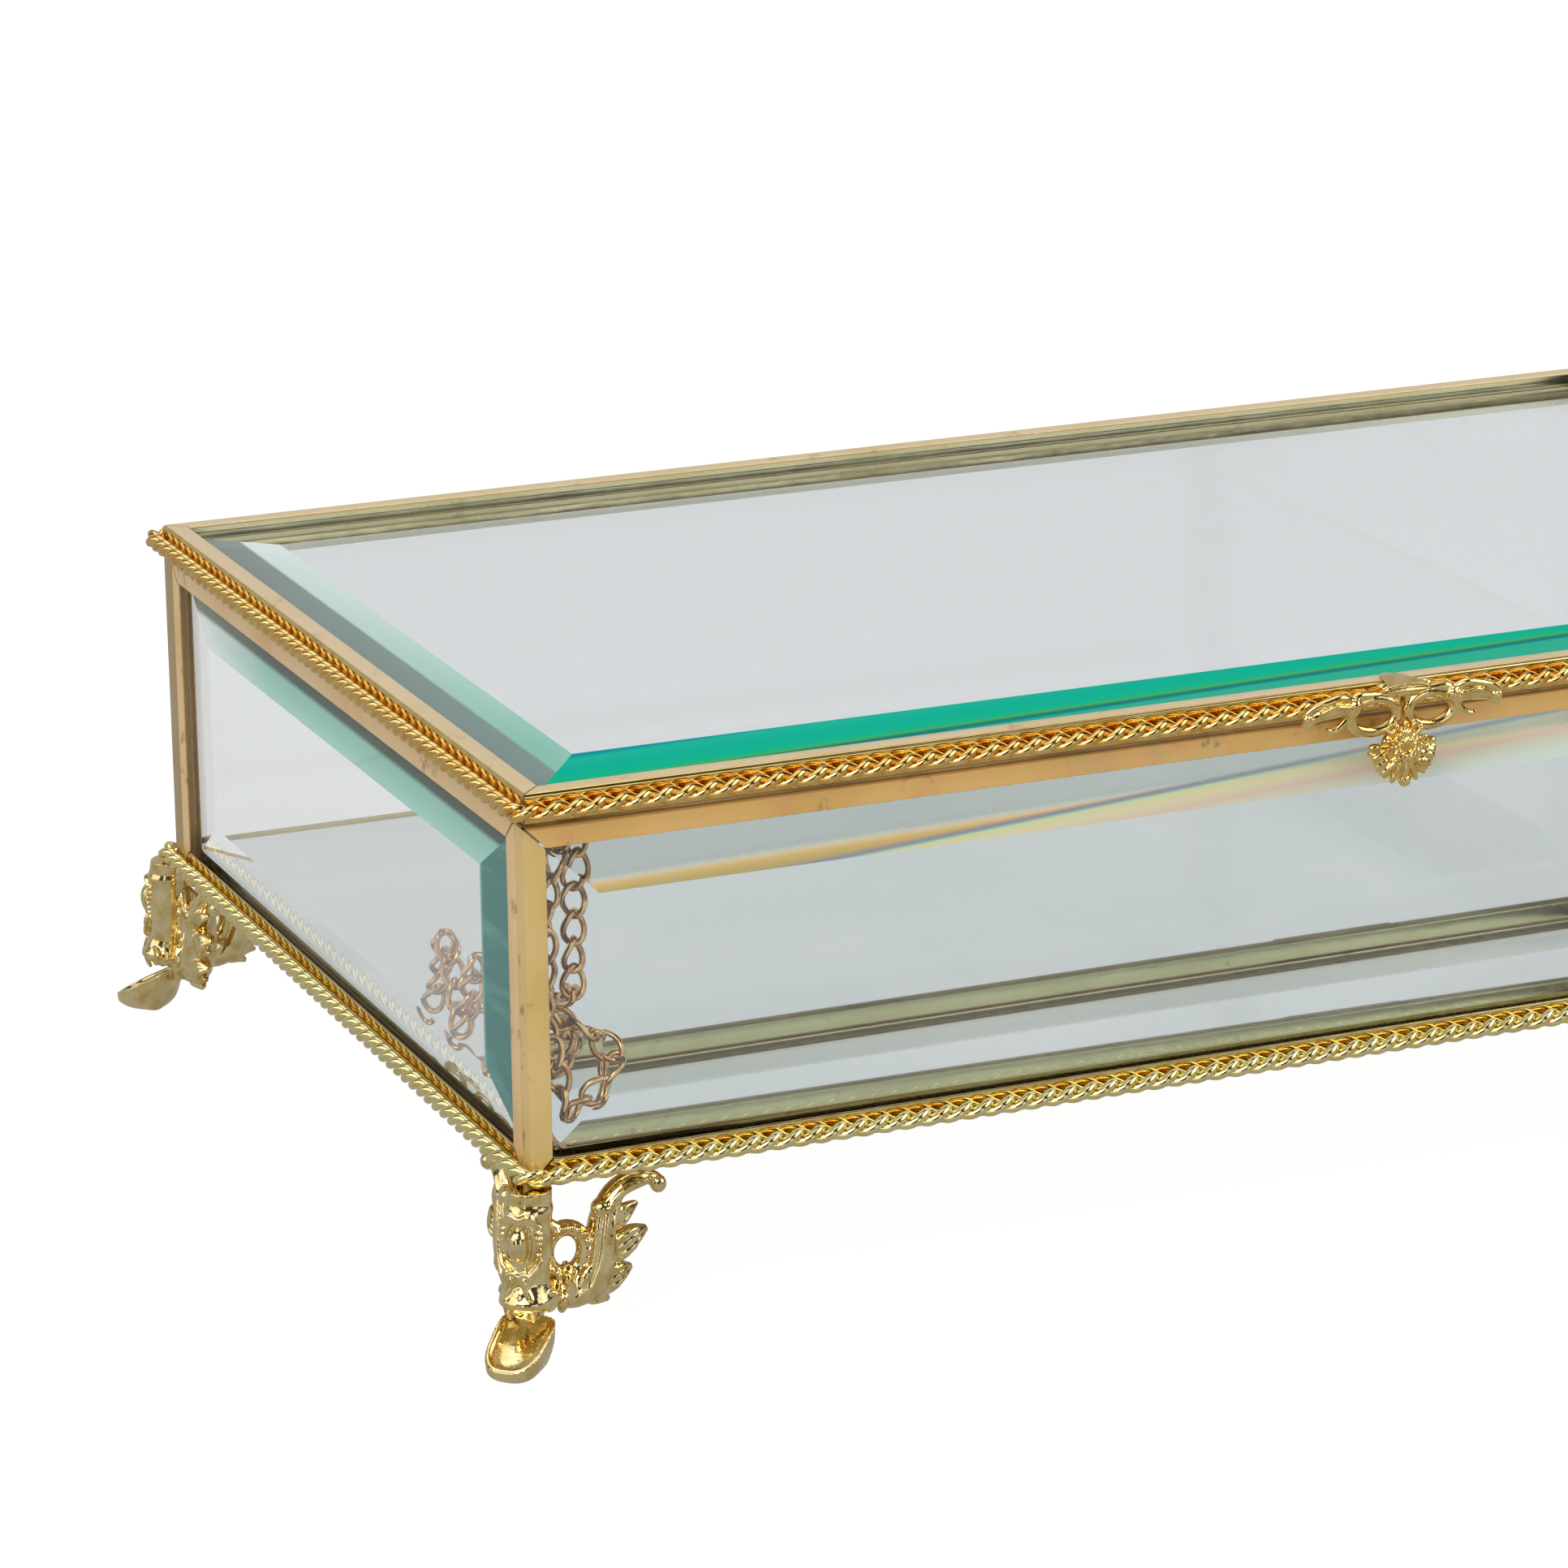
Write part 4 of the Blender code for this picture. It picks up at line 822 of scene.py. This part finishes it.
def wing_parts():
    """Openwork wing along +X: (s, z) is distance along the edge and height; relief stands out towards -Y."""
    def at(s, z, q=0.0):
        """A point q in front of the wing's middle plane."""
        return (s, 0.9 - q, z)

    right, front, up = (1, 0, 0), (0, -1, 0), (0, 0, 1)
    # main scroll: out from the neck, up, and over to its curled tip under the rope
    parts = [stem([at(3.0, 8.8, .8), at(5.6, 8.6, .8), at(8.0, 9.8, .6), at(9.3, 12.2, .4), at(9.8, 15.0, .2),
                   at(10.1, 17.6), at(10.9, 20.0), at(12.4, 21.8), at(14.6, 22.7), at(16.6, 22.6), at(17.7, 21.9),
                   at(17.6, 21.1)],
                  (2.0, 2.3, 2.4, 2.4, 2.3, 2.0, 1.65, 1.45, 1.25, 1.05, 1.0, 0.9), 46, 16)]
    parts.append(egg(at(17.8, 21.6, 0.5), (up, right, front), (1.25, 1.15, 1.1), 10, 12))
    # ridges that run up the scroll, the collar leaf wrapped round it and the knot beside it
    for shift, rise in ((-1.25, 2.0), (-0.3, 2.45), (0.75, 2.3)):
        parts.append(stem([at(7.6 + shift, 9.4 + shift * .3, rise + .3), at(9.2 + shift, 13.0, rise + .1),
                           at(9.9 + shift, 16.8, rise - .25), at(10.7 + shift * .9, 19.6, rise - .7),
                           at(12.6, 21.7 - shift * .5, rise - .95), at(16.6, 22.6 - shift * .4, rise - 1.4)],
                          (0.5, 0.6, 0.55, 0.46, 0.4, 0.28), 30, 8))
    for k in range(6):
        parts.append(stem([at(7.9 + 0.32 * k, 11.2 + 1.5 * k, 2.3 - 0.1 * k),
                           at(8.9 + 0.3 * k, 12.6 + 1.45 * k, 2.6 - 0.13 * k),
                           at(10.6 + 0.28 * k, 13.4 + 1.4 * k, 2.1 - 0.15 * k)], (0.2, 0.34, 0.2), 10, 8))
    parts.append(egg(at(9.6, 19.5, 0.6), ((0.5, 0, 0.87), (0.87, 0, -0.5), front), (1.4, 1.4, 1.5), 10, 12))
    parts.append(egg(at(11.4, 18.3, 1.0), ((0.3, 0, 0.95), (0.95, 0, -0.3), front), (1.8, 1.4, 1.1), 10, 12))
    parts += leaf_lobe(at, (10.6, 13.2), (15.7, 15.9), 1.75)
    parts += leaf_lobe(at, (10.8, 12.4), (14.5, 13.6), 1.1)
    parts += leaf_lobe(at, (9.4, 9.0), (13.5, 10.9), 1.6)
    parts += leaf_lobe(at, (9.0, 8.2), (12.0, 8.4), 1.0)
    parts += leaf_lobe(at, (6.6, 7.8), (10.4, 6.8), 1.25)
    parts += leaf_lobe(at, (10.6, 16.6), (14.5, 19.6), 1.25)
    # pierced ring with a knurled edge, and the tongue that makes its opening a heart
    parts.append(hoop(at(4.6, 14.2, 0.2), right, up, 2.75, 3.2, 1.15, 30, 12))
    parts.append(stem([at(6.9, 12.0, .5), at(7.4, 14.6, .5), at(7.6, 16.6, .4)], (1.1, 1.0, 0.8), 12, 10))
    for k in range(18):
        a = 2 * math.pi * k / 18
        parts.append(egg(at(4.6 + 2.95 * math.cos(a), 14.2 + 3.45 * math.sin(a), 1.2), (up, right, front),
                         (0.5, 0.5, 0.55), 6, 8))
    parts.append(stem([at(4.5, 10.6, 0.9), at(4.5, 11.8, 1.0), at(4.35, 12.9, 0.6)], (1.4, 1.1, 0.3), 8, 10))
    # lower mass with fat petals
    parts.append(egg(at(4.8, 9.4, 0.4), ((0.9, 0, 0.44), (0.44, 0, -0.9), front), (3.8, 2.6, 1.9), 12, 16))
    for s, z, lean, length, q in ((6.3, 10.4, 0.5, 2.3, 2.1), (4.4, 10.0, -0.25, 2.1, 2.3), (7.3, 8.4, 1.1, 1.9, 1.8),
                                  (5.2, 8.3, 0.75, 1.7, 2.3), (3.3, 7.9, 0.2, 1.5, 2.4)):
        ways = ((math.sin(lean), 0, math.cos(lean)), (math.cos(lean), 0, -math.sin(lean)), front)
        parts.append(egg(at(s, z, q), ways, (length, 0.8, 0.9), 8, 10))
    # volute beside the toe
    parts.append(egg(at(0.4, 9.3, 3.9), (up, right, front), (1.7, 1.7, 1.1), 10, 14))
    turn = np.linspace(0, 3.6 * math.pi, 40)
    reach = np.linspace(1.5, 0.4, 40)
    spiral = [at(0.4 + r * math.cos(a), 9.3 + r * math.sin(a), 4.95) for a, r in zip(turn, reach)]
    parts.append(stem(spiral, (0.4, 0.38, 0.32), 60, 8))
    parts.append(egg(at(0.4, 9.3, 5.1), (up, right, front), (0.5, 0.5, 0.55), 6, 10))
    # web that joins neck and ring behind the relief
    parts.append(stem([at(1.0, 19.4), at(2.2, 18.2, .3), at(3.6, 17.4, .4)], (1.1, 1.1, 0.9), 10, 10))
    parts.append(stem([at(1.4, 12.0), at(2.4, 12.6, .3)], (1.4, 1.3), 8, 10))
    return parts


def feet():
    """The four feet are one casting, mirrored to the corners."""
    cast = fused_casting("cast_foot", [(np.asarray(p) * MM, f) for p, f in foot_parts()], FOOT_GRAIN, 1)
    count = len(cast.vertices)
    points = np.empty(count * 3, np.float32)
    cast.vertices.foreach_get("co", points)
    points = points.reshape(-1, 3)
    points[:, 2] = np.clip(points[:, 2], 0.0, FOOT_TOP + COLUMN_RISE)
    faces = np.array([list(p.vertices) for p in cast.polygons if len(p.vertices) == 4])
    others = [list(p.vertices) for p in cast.polygons if len(p.vertices) != 4]
    for place, sx, sy in (("front_left", 1, 1), ("front_right", -1, 1), ("back_left", 1, -1), ("back_right", -1, -1)):
        moved = (points + [-HALF_LENGTH, -HALF_DEPTH, 0.0]) * [sx, sy, 1]
        turned = faces if sx * sy > 0 else faces[:, ::-1]
        new_piece("foot_" + place + "_cast", moved, turned.tolist() + others, CAST_GOLD, "box",
                  ("foot_" + place,))


# ---------------------------------------------------------------- lift

LIFT_GRAIN = 0.12 * MM


def lift_parts():
    """Cast lift in millimetres: x from its middle, z below the top of the lid, relief towards -Y."""
    base = 3.3 + 0.9

    def at(x, z, q=0.0):
        """A point q in front of the lift's back. The whole relief hangs 0.9 mm to the left of its solder tongue."""
        return (x - 0.9, -base - q, z)

    right, front, up = (1, 0, 0), (0, -1, 0), (0, 0, 1)
    # bridge over the rings, and the solder tongue that runs from it over the lid channel
    parts = [stem([at(-8.0, -1.3), at(-6.6, -0.5), at(-3.6, -0.55), at(0, -0.5), at(3.6, -0.55), at(6.6, -0.5),
                   at(8.0, -1.3)], (0.6, 0.8, 0.62, 0.7, 0.62, 0.8, 0.6), 30, 10)]
    parts.append(stem([(0, -base, -0.2), (0, -2.6, 0.35), (0, 0.0, 0.42), (0, 2.3, 0.2)], (0.9, 0.62, 0.42, 0.25), 12,
                      16, 4.2))
    for sign in (-1, 1):
        parts.append(egg((sign * 3.3, -base + 1.2, 0.25), (right, front, up), (0.9, 0.8, 0.45), 8, 10))
        parts.append(hoop(at(sign * 4.4, -3.3), right, up, 3.5, 2.3, 0.78, 36, 12))
        parts.append(stem([at(sign * 0.75, -0.6), at(sign * 0.7, -2.4), at(sign * 0.9, -4.6)], (0.5, 0.42, 0.5), 10,
                          8))
        # blob at the ring's shoulder, a forked leafy wing with a rib, and the spur under it
        parts.append(egg(at(sign * 7.5, -1.5, 0.6), (up, right, front), (1.15, 1.0, 1.0), 8, 10))
        parts.append(stem([at(sign * 7.4, -2.6, .2), at(sign * 9.2, -1.7, 0.4), at(sign * 11.4, -1.9, 0.4),
                           at(sign * 13.2, -2.4), at(sign * 14.6, -3.2), at(sign * 14.2, -4.0)],
                          (1.0, 1.15, 1.05, 0.85, 0.7, 0.5), 28, 12))
        parts.append(stem([at(sign * 7.8, -0.9, .3), at(sign * 9.6, -0.2, 0.6), at(sign * 11.6, -0.5, 0.7),
                           at(sign * 13.4, -1.0, 0.5), at(sign * 14.8, -1.9, .3)],
                          (0.6, 0.7, 0.62, 0.55, 0.4), 22, 10))
        parts.append(stem([at(sign * 8.6, -1.4, 1.3), at(sign * 10.8, -1.1, 1.5), at(sign * 13.0, -1.8, 1.1)],
                          (0.3, 0.36, 0.22), 14, 8))
        parts.append(stem([at(sign * 8.2, -3.0), at(sign * 9.4, -4.2), at(sign * 10.6, -4.8), at(sign * 11.4, -4.4)],
                          (0.7, 0.6, 0.5, 0.35), 16, 8))
        parts.append(egg(at(sign * 14.7, -2.6, 0.3), (up, right, front), (0.8, 0.6, 0.7), 8, 10))
    # hanging flower: a domed heart, arches of seed beads over it, petals below and at the sides, and a round drop
    parts.append(egg(at(0, -8.6, 0.1), (up, right, front), (3.6, 3.4, 1.4), 12, 16))

    def bead(x, z, q, angle, length, width):
        """An oval seed whose length lies at an angle to the right."""
        way = (math.cos(angle), 0, math.sin(angle))
        side = (-math.sin(angle), 0, math.cos(angle))
        parts.append(egg(at(x, z, q), (way, side, front), (length, width, width * 1.2), 8, 10))

    for radius, number, low, high, length, width, rise in (
            (1.0, 5, 20, 160, 0.55, 0.34, 1.75), (2.0, 8, 5, 175, 0.62, 0.36, 1.5), (3.0, 9, -5, 185, 0.7, 0.40, 1.05),
            (1.6, 6, 200, 340, 0.75, 0.42, 1.75)):
        for k in range(number):
            a = math.radians(low + (high - low) * k / (number - 1))
            bead(radius * math.cos(a), -7.9 + radius * math.sin(a), rise, a, length, width)
    for radius, number, low, high, length, width, rise in (
            (3.9, 6, 192, 232, 1.25, 0.58, 0.9), (3.9, 6, 308, 348, 1.25, 0.58, 0.9),
            (2.9, 5, 225, 315, 1.2, 0.5, 1.35), (4.3, 2, 176, 186, 1.0, 0.6, 0.4), (4.3, 2, -6, 4, 1.0, 0.6, 0.4),
            (4.2, 3, 248, 292, 1.1, 0.5, 0.9)):
        for k in range(number):
            a = math.radians(low + (high - low) * k / (number - 1))
            bead(radius * math.cos(a), -8.1 + radius * math.sin(a), rise - 0.2 * (k % 2), a, length, width)
    parts.append(stem([at(0, -9.8, 0.8), at(0.2, -12.2, 0.6)], (0.75, 0.6), 8, 10))
    parts.append(egg(at(0.25, -12.8, 0.6), (up, right, front), (1.0, 0.95, 0.95), 10, 12))
    return parts


def lift():
    """The lift's parts melted into one casting and put in its place at the front of the lid."""
    parts = [(np.asarray(p) * MM + [0, -HALF_DEPTH, LID_TOP], f) for p, f in lift_parts()]
    mesh = fused_casting("lid_lift_cast", parts, LIFT_GRAIN, 2)
    mesh.materials.clear()
    mesh.materials.append(LIFT_GOLD)
    piece = bpy.data.objects.new("lid_lift_cast", mesh)
    bpy.context.scene.collection.objects.link(piece)
    hang(piece, "lid", ("lid_lift",))


# ---------------------------------------------------------------- stay chain

LINK_PITCH = 3.7 * MM
LINK_WIRE = 0.42 * MM
LINK_HALF_LENGTH = 2.30 * MM
LINK_HALF_WIDTH = 1.45 * MM
LINK_TWIST = math.radians(42)
LINK_STATIONS = 22
LINK_SIDES = 8
# how far the slack runs in the corner bulge away from the side pane
HEAP_BOW = {"stay_drop": -2.6 * MM, "stay_fold_1": 8.0 * MM, "stay_fold_2": 5.0 * MM, "stay_fold_3": 8.5 * MM,
            "stay_fold_4": 4.0 * MM, "stay_fold_5": 5.0 * MM, "stay_return": 3.0 * MM}


def curb_link(middle, way, side, roll):
    """One twisted oval: its plane turns a quarter round the chain's line from end to end."""
    turn = np.linspace(0, 2 * math.pi, LINK_STATIONS, endpoint=False)
    along = LINK_HALF_LENGTH * np.cos(turn)
    wide = LINK_HALF_WIDTH * np.sin(turn)
    lean = roll + LINK_TWIST * along / LINK_HALF_LENGTH
    other = np.cross(way, side)
    centre = (middle + along[:, None] * way + wide[:, None] * (np.cos(lean)[:, None] * side
                                                               + np.sin(lean)[:, None] * other))
    tangent = unit(np.roll(centre, -1, 0) - np.roll(centre, 1, 0))
    away = unit((centre - middle) - tangent * ((centre - middle) * tangent).sum(1)[:, None])
    third = np.cross(tangent, away)
    ring = np.linspace(0, 2 * math.pi, LINK_SIDES, endpoint=False)
    points = centre[:, None] + LINK_WIRE * (np.cos(ring)[None, :, None] * away[:, None]
                                            + np.sin(ring)[None, :, None] * third[:, None])
    return points.reshape(-1, 3), grid_faces(LINK_STATIONS, LINK_SIDES, True, True).tolist()


def pivots():
    """Place of each joint of the frame, by name. Those of the stay are the ends of its stiff runs."""
    return {j["name"]: np.array(j["pos_m"]) for j in frame["joints"] if "pos_m" in j}


def chain():
    """Real curb links along every run of the stay, each riding on its run's body. A run bows away from the side pane
    by its own depth x sin(pi x share of its length), and its links roll to and fro along it."""
    place = pivots()
    folds = sorted((n for n in place if n.startswith("stay_fold")), key=lambda n: int(n.split("_")[2]))
    starts = [place["stay_drop_pivot"]] + [place[n] for n in folds]
    step = starts[-1][1] - starts[-2][1]
    end = np.array([starts[-1][0], starts[-1][1] + step, starts[-2][2]])
    runs = [("stay_drop", starts[0], starts[1], ["stay_chain_01", "stay_chain_02", "stay_chain_03"])]
    ends = starts[2:] + [end]
    for number, (a, b) in enumerate(zip(starts[1:], ends), start=1):
        runs.append((f"stay_fold_{number}", a, b, [f"stay_chain_{number + 3:02d}"]))
    rise, back = place["stay_rise_pivot"], place["stay_return_pivot"]
    runs.append(("stay_rise", rise, back, ["stay_chain_15", "stay_chain_16"]))
    runs.append(("stay_return", back, np.array([back[0], end[1], end[2]]), ["stay_chain_12", "stay_chain_13",
                                                                            "stay_chain_14"]))
    right = np.array([1.0, 0.0, 0.0])
    for index, (body, a, b, nodes) in enumerate(runs):
        share = np.linspace(0, 1, 60)[:, None]
        path = a + (b - a) * share + right * HEAP_BOW.get(body, 0.4 * MM) * np.sin(math.pi * share)
        reach = np.concatenate([[0], np.cumsum(np.linalg.norm(np.diff(path, axis=0), axis=1))])
        count = max(1, round(reach[-1] / LINK_PITCH))
        parts = []
        for k in range(count):
            ends = [np.array([np.interp(reach[-1] * (k + e) / count, reach, path[:, i]) for i in range(3)])
                    for e in (0, 1)]
            way = unit(ends[1] - ends[0])
            side = unit(right - way * way[0] + np.array([0.0, 1e-6, 0.0]))
            roll = (0.35 + (0.9 if body in HEAP_BOW else 0.0)) * math.sin(1.7 * k + index)
            parts.append(curb_link((ends[0] + ends[1]) / 2, way, side, roll))
        points, faces = gathered(parts)
        new_piece("chain_" + body, points, faces, CHAIN_GILT, body, nodes)


# ---------------------------------------------------------------- stage and light

def mirrored_ray(tree):
    """1 for what a polished surface mirrors, 0 for what is seen directly, through glass or by matt surfaces."""
    path = add_node(tree, "ShaderNodeLightPath")
    return add_node(tree, "ShaderNodeMath", {0: path.outputs["Is Glossy Ray"], 1: path.outputs["Is Reflection Ray"]},
                    operation="MULTIPLY").outputs[0]


TABLE_GLOW, MIRRORED_TABLE_GLOW = 0.97, 0.34
SKY_GLOW, MIRRORED_SKY_GLOW = 0.95, 0.05
TABLE_REACH = 6.0       # half the width of the table, in metres


def stage():
    """Pale light table, a plain white sky and two soft boxes. Polished surfaces mirror a darker table and a dark sky
    with soft windows, as in a room."""
    floor, tree = new_finish("pale_light_table")
    glow = add_node(tree, "ShaderNodeMapRange", {"Value": mirrored_ray(tree)}, in_3=TABLE_GLOW,
                    in_4=MIRRORED_TABLE_GLOW).outputs[0]
    shader = add_node(tree, "ShaderNodeBsdfPrincipled", {"Emission Strength": glow}, in_Base_Color=colour("#3C3C3C"),
                      in_Roughness=0.9, in_Emission_Color=colour("#FFFFFF"))
    close_finish(tree, shader)
    mesh = bpy.data.meshes.new("floor")
    r = TABLE_REACH
    mesh.from_pydata([(-r, -r, 0), (r, -r, 0), (r, r, 0), (-r, r, 0)], [], [(0, 1, 2, 3)])
    mesh.materials.append(floor)
    ground = bpy.data.objects.new("floor", mesh)
    ground.location.z = -0.05 * MM
    bpy.context.scene.collection.objects.link(ground)

    world = bpy.data.worlds.new("studio")
    bpy.context.scene.world = world
    world.use_nodes = True
    tree = world.node_tree
    tree.nodes.clear()
    way = add_node(tree, "ShaderNodeTexCoord").outputs["Generated"]

    def patch(direction, inner, outer, strength):
        """A soft round window in the sky: full inside one angle and gone outside the other."""
        d = Vector(direction).normalized()
        dot = add_node(tree, "ShaderNodeVectorMath", {0: way}, operation="DOT_PRODUCT", in_1=d)
        return add_node(tree, "ShaderNodeMapRange", {"Value": dot.outputs["Value"]}, interpolation_type="SMOOTHSTEP",
                        in_1=math.cos(math.radians(outer)), in_2=math.cos(math.radians(inner)), in_3=0.0,
                        in_4=strength).outputs[0]

    total = None
    # direction, the two angles in degrees, and the strength
    for window in (((-0.9, -0.1, 0.45), 18, 30, 1.4), ((0.75, -0.55, 0.5), 14, 26, 1.4), ((0, 0.15, 1), 18, 34, 1.3),
                   ((0.1, 1, 0.25), 36, 66, 0.42), ((-0.35, -0.9, 0.9), 8, 16, 1.4),
                   ((-0.65, -0.75, 0.12), 7, 14, 1.3), ((0.25, -1, 0.1), 7, 15, 1.2), ((-1, 0.35, 0.1), 8, 16, 1.1)):
        value = patch(*window)
        total = value if total is None else add_node(tree, "ShaderNodeMath", {0: total, 1: value},
                                                     operation="ADD").outputs[0]
    glossy = add_node(tree, "ShaderNodeMath", {0: total}, operation="ADD", in_1=MIRRORED_SKY_GLOW).outputs[0]
    plain = add_node(tree, "ShaderNodeBackground", in_Color=(1.0, 1.0, 1.0, 1.0), in_Strength=SKY_GLOW)
    mirror = add_node(tree, "ShaderNodeBackground", {"Strength": glossy}, in_Color=(1.0, 1.0, 1.0, 1.0))
    both = add_node(tree, "ShaderNodeMixShader", {0: mirrored_ray(tree), 1: plain.outputs[0], 2: mirror.outputs[0]})
    add_node(tree, "ShaderNodeOutputWorld", {"Surface": both.outputs[0]})

    for name, spot, size, power in (("key_softbox", (-0.9, -0.9, 1.1), 0.7, 9.0),
                                    ("fill_softbox", (1.1, -0.5, 0.9), 0.9, 5.0)):
        data = bpy.data.lights.new(name, "AREA")
        data.shape = "SQUARE"
        data.size = size
        data.energy = power
        lamp = bpy.data.objects.new(name, data)
        lamp.location = spot
        lamp.rotation_mode = "QUATERNION"
        lamp.rotation_quaternion = (Vector((0, 0, 0.03)) - Vector(spot)).to_track_quat("-Z", "Y")
        bpy.context.scene.collection.objects.link(lamp)
    bpy.context.scene.view_settings.view_transform = "Standard"


# ---------------------------------------------------------------- assembly

def refinish(node, finish):
    """A CAD node that shows as it is, in its real finish."""
    mesh = frame["nodes"][node].data
    mesh.materials.clear()
    mesh.materials.append(finish)


channels()
panes()
twisted_rope("lower_rope", RAIL_EDGE - 1.8 * MM, False, ROPE_GOLD, "box")
twisted_rope("lid_rope", (LID_BOTTOM + LID_TOP) / 2, True, LID_ROPE_GOLD, "lid")
feet()
lift()
chain()
for node_name in ("base_plate", "hinge_body_leaf_left", "hinge_body_leaf_right", "hinge_pin_left", "hinge_pin_right",
                  "hinge_lid_leaf_left", "hinge_lid_leaf_right", "stay_eye_body", "stay_eye_lid"):
    refinish(node_name, HINGE_BRASS)
refinish("mirror_floor", MIRROR)
refinish("mirror_felt_pad", FELT)
stage()
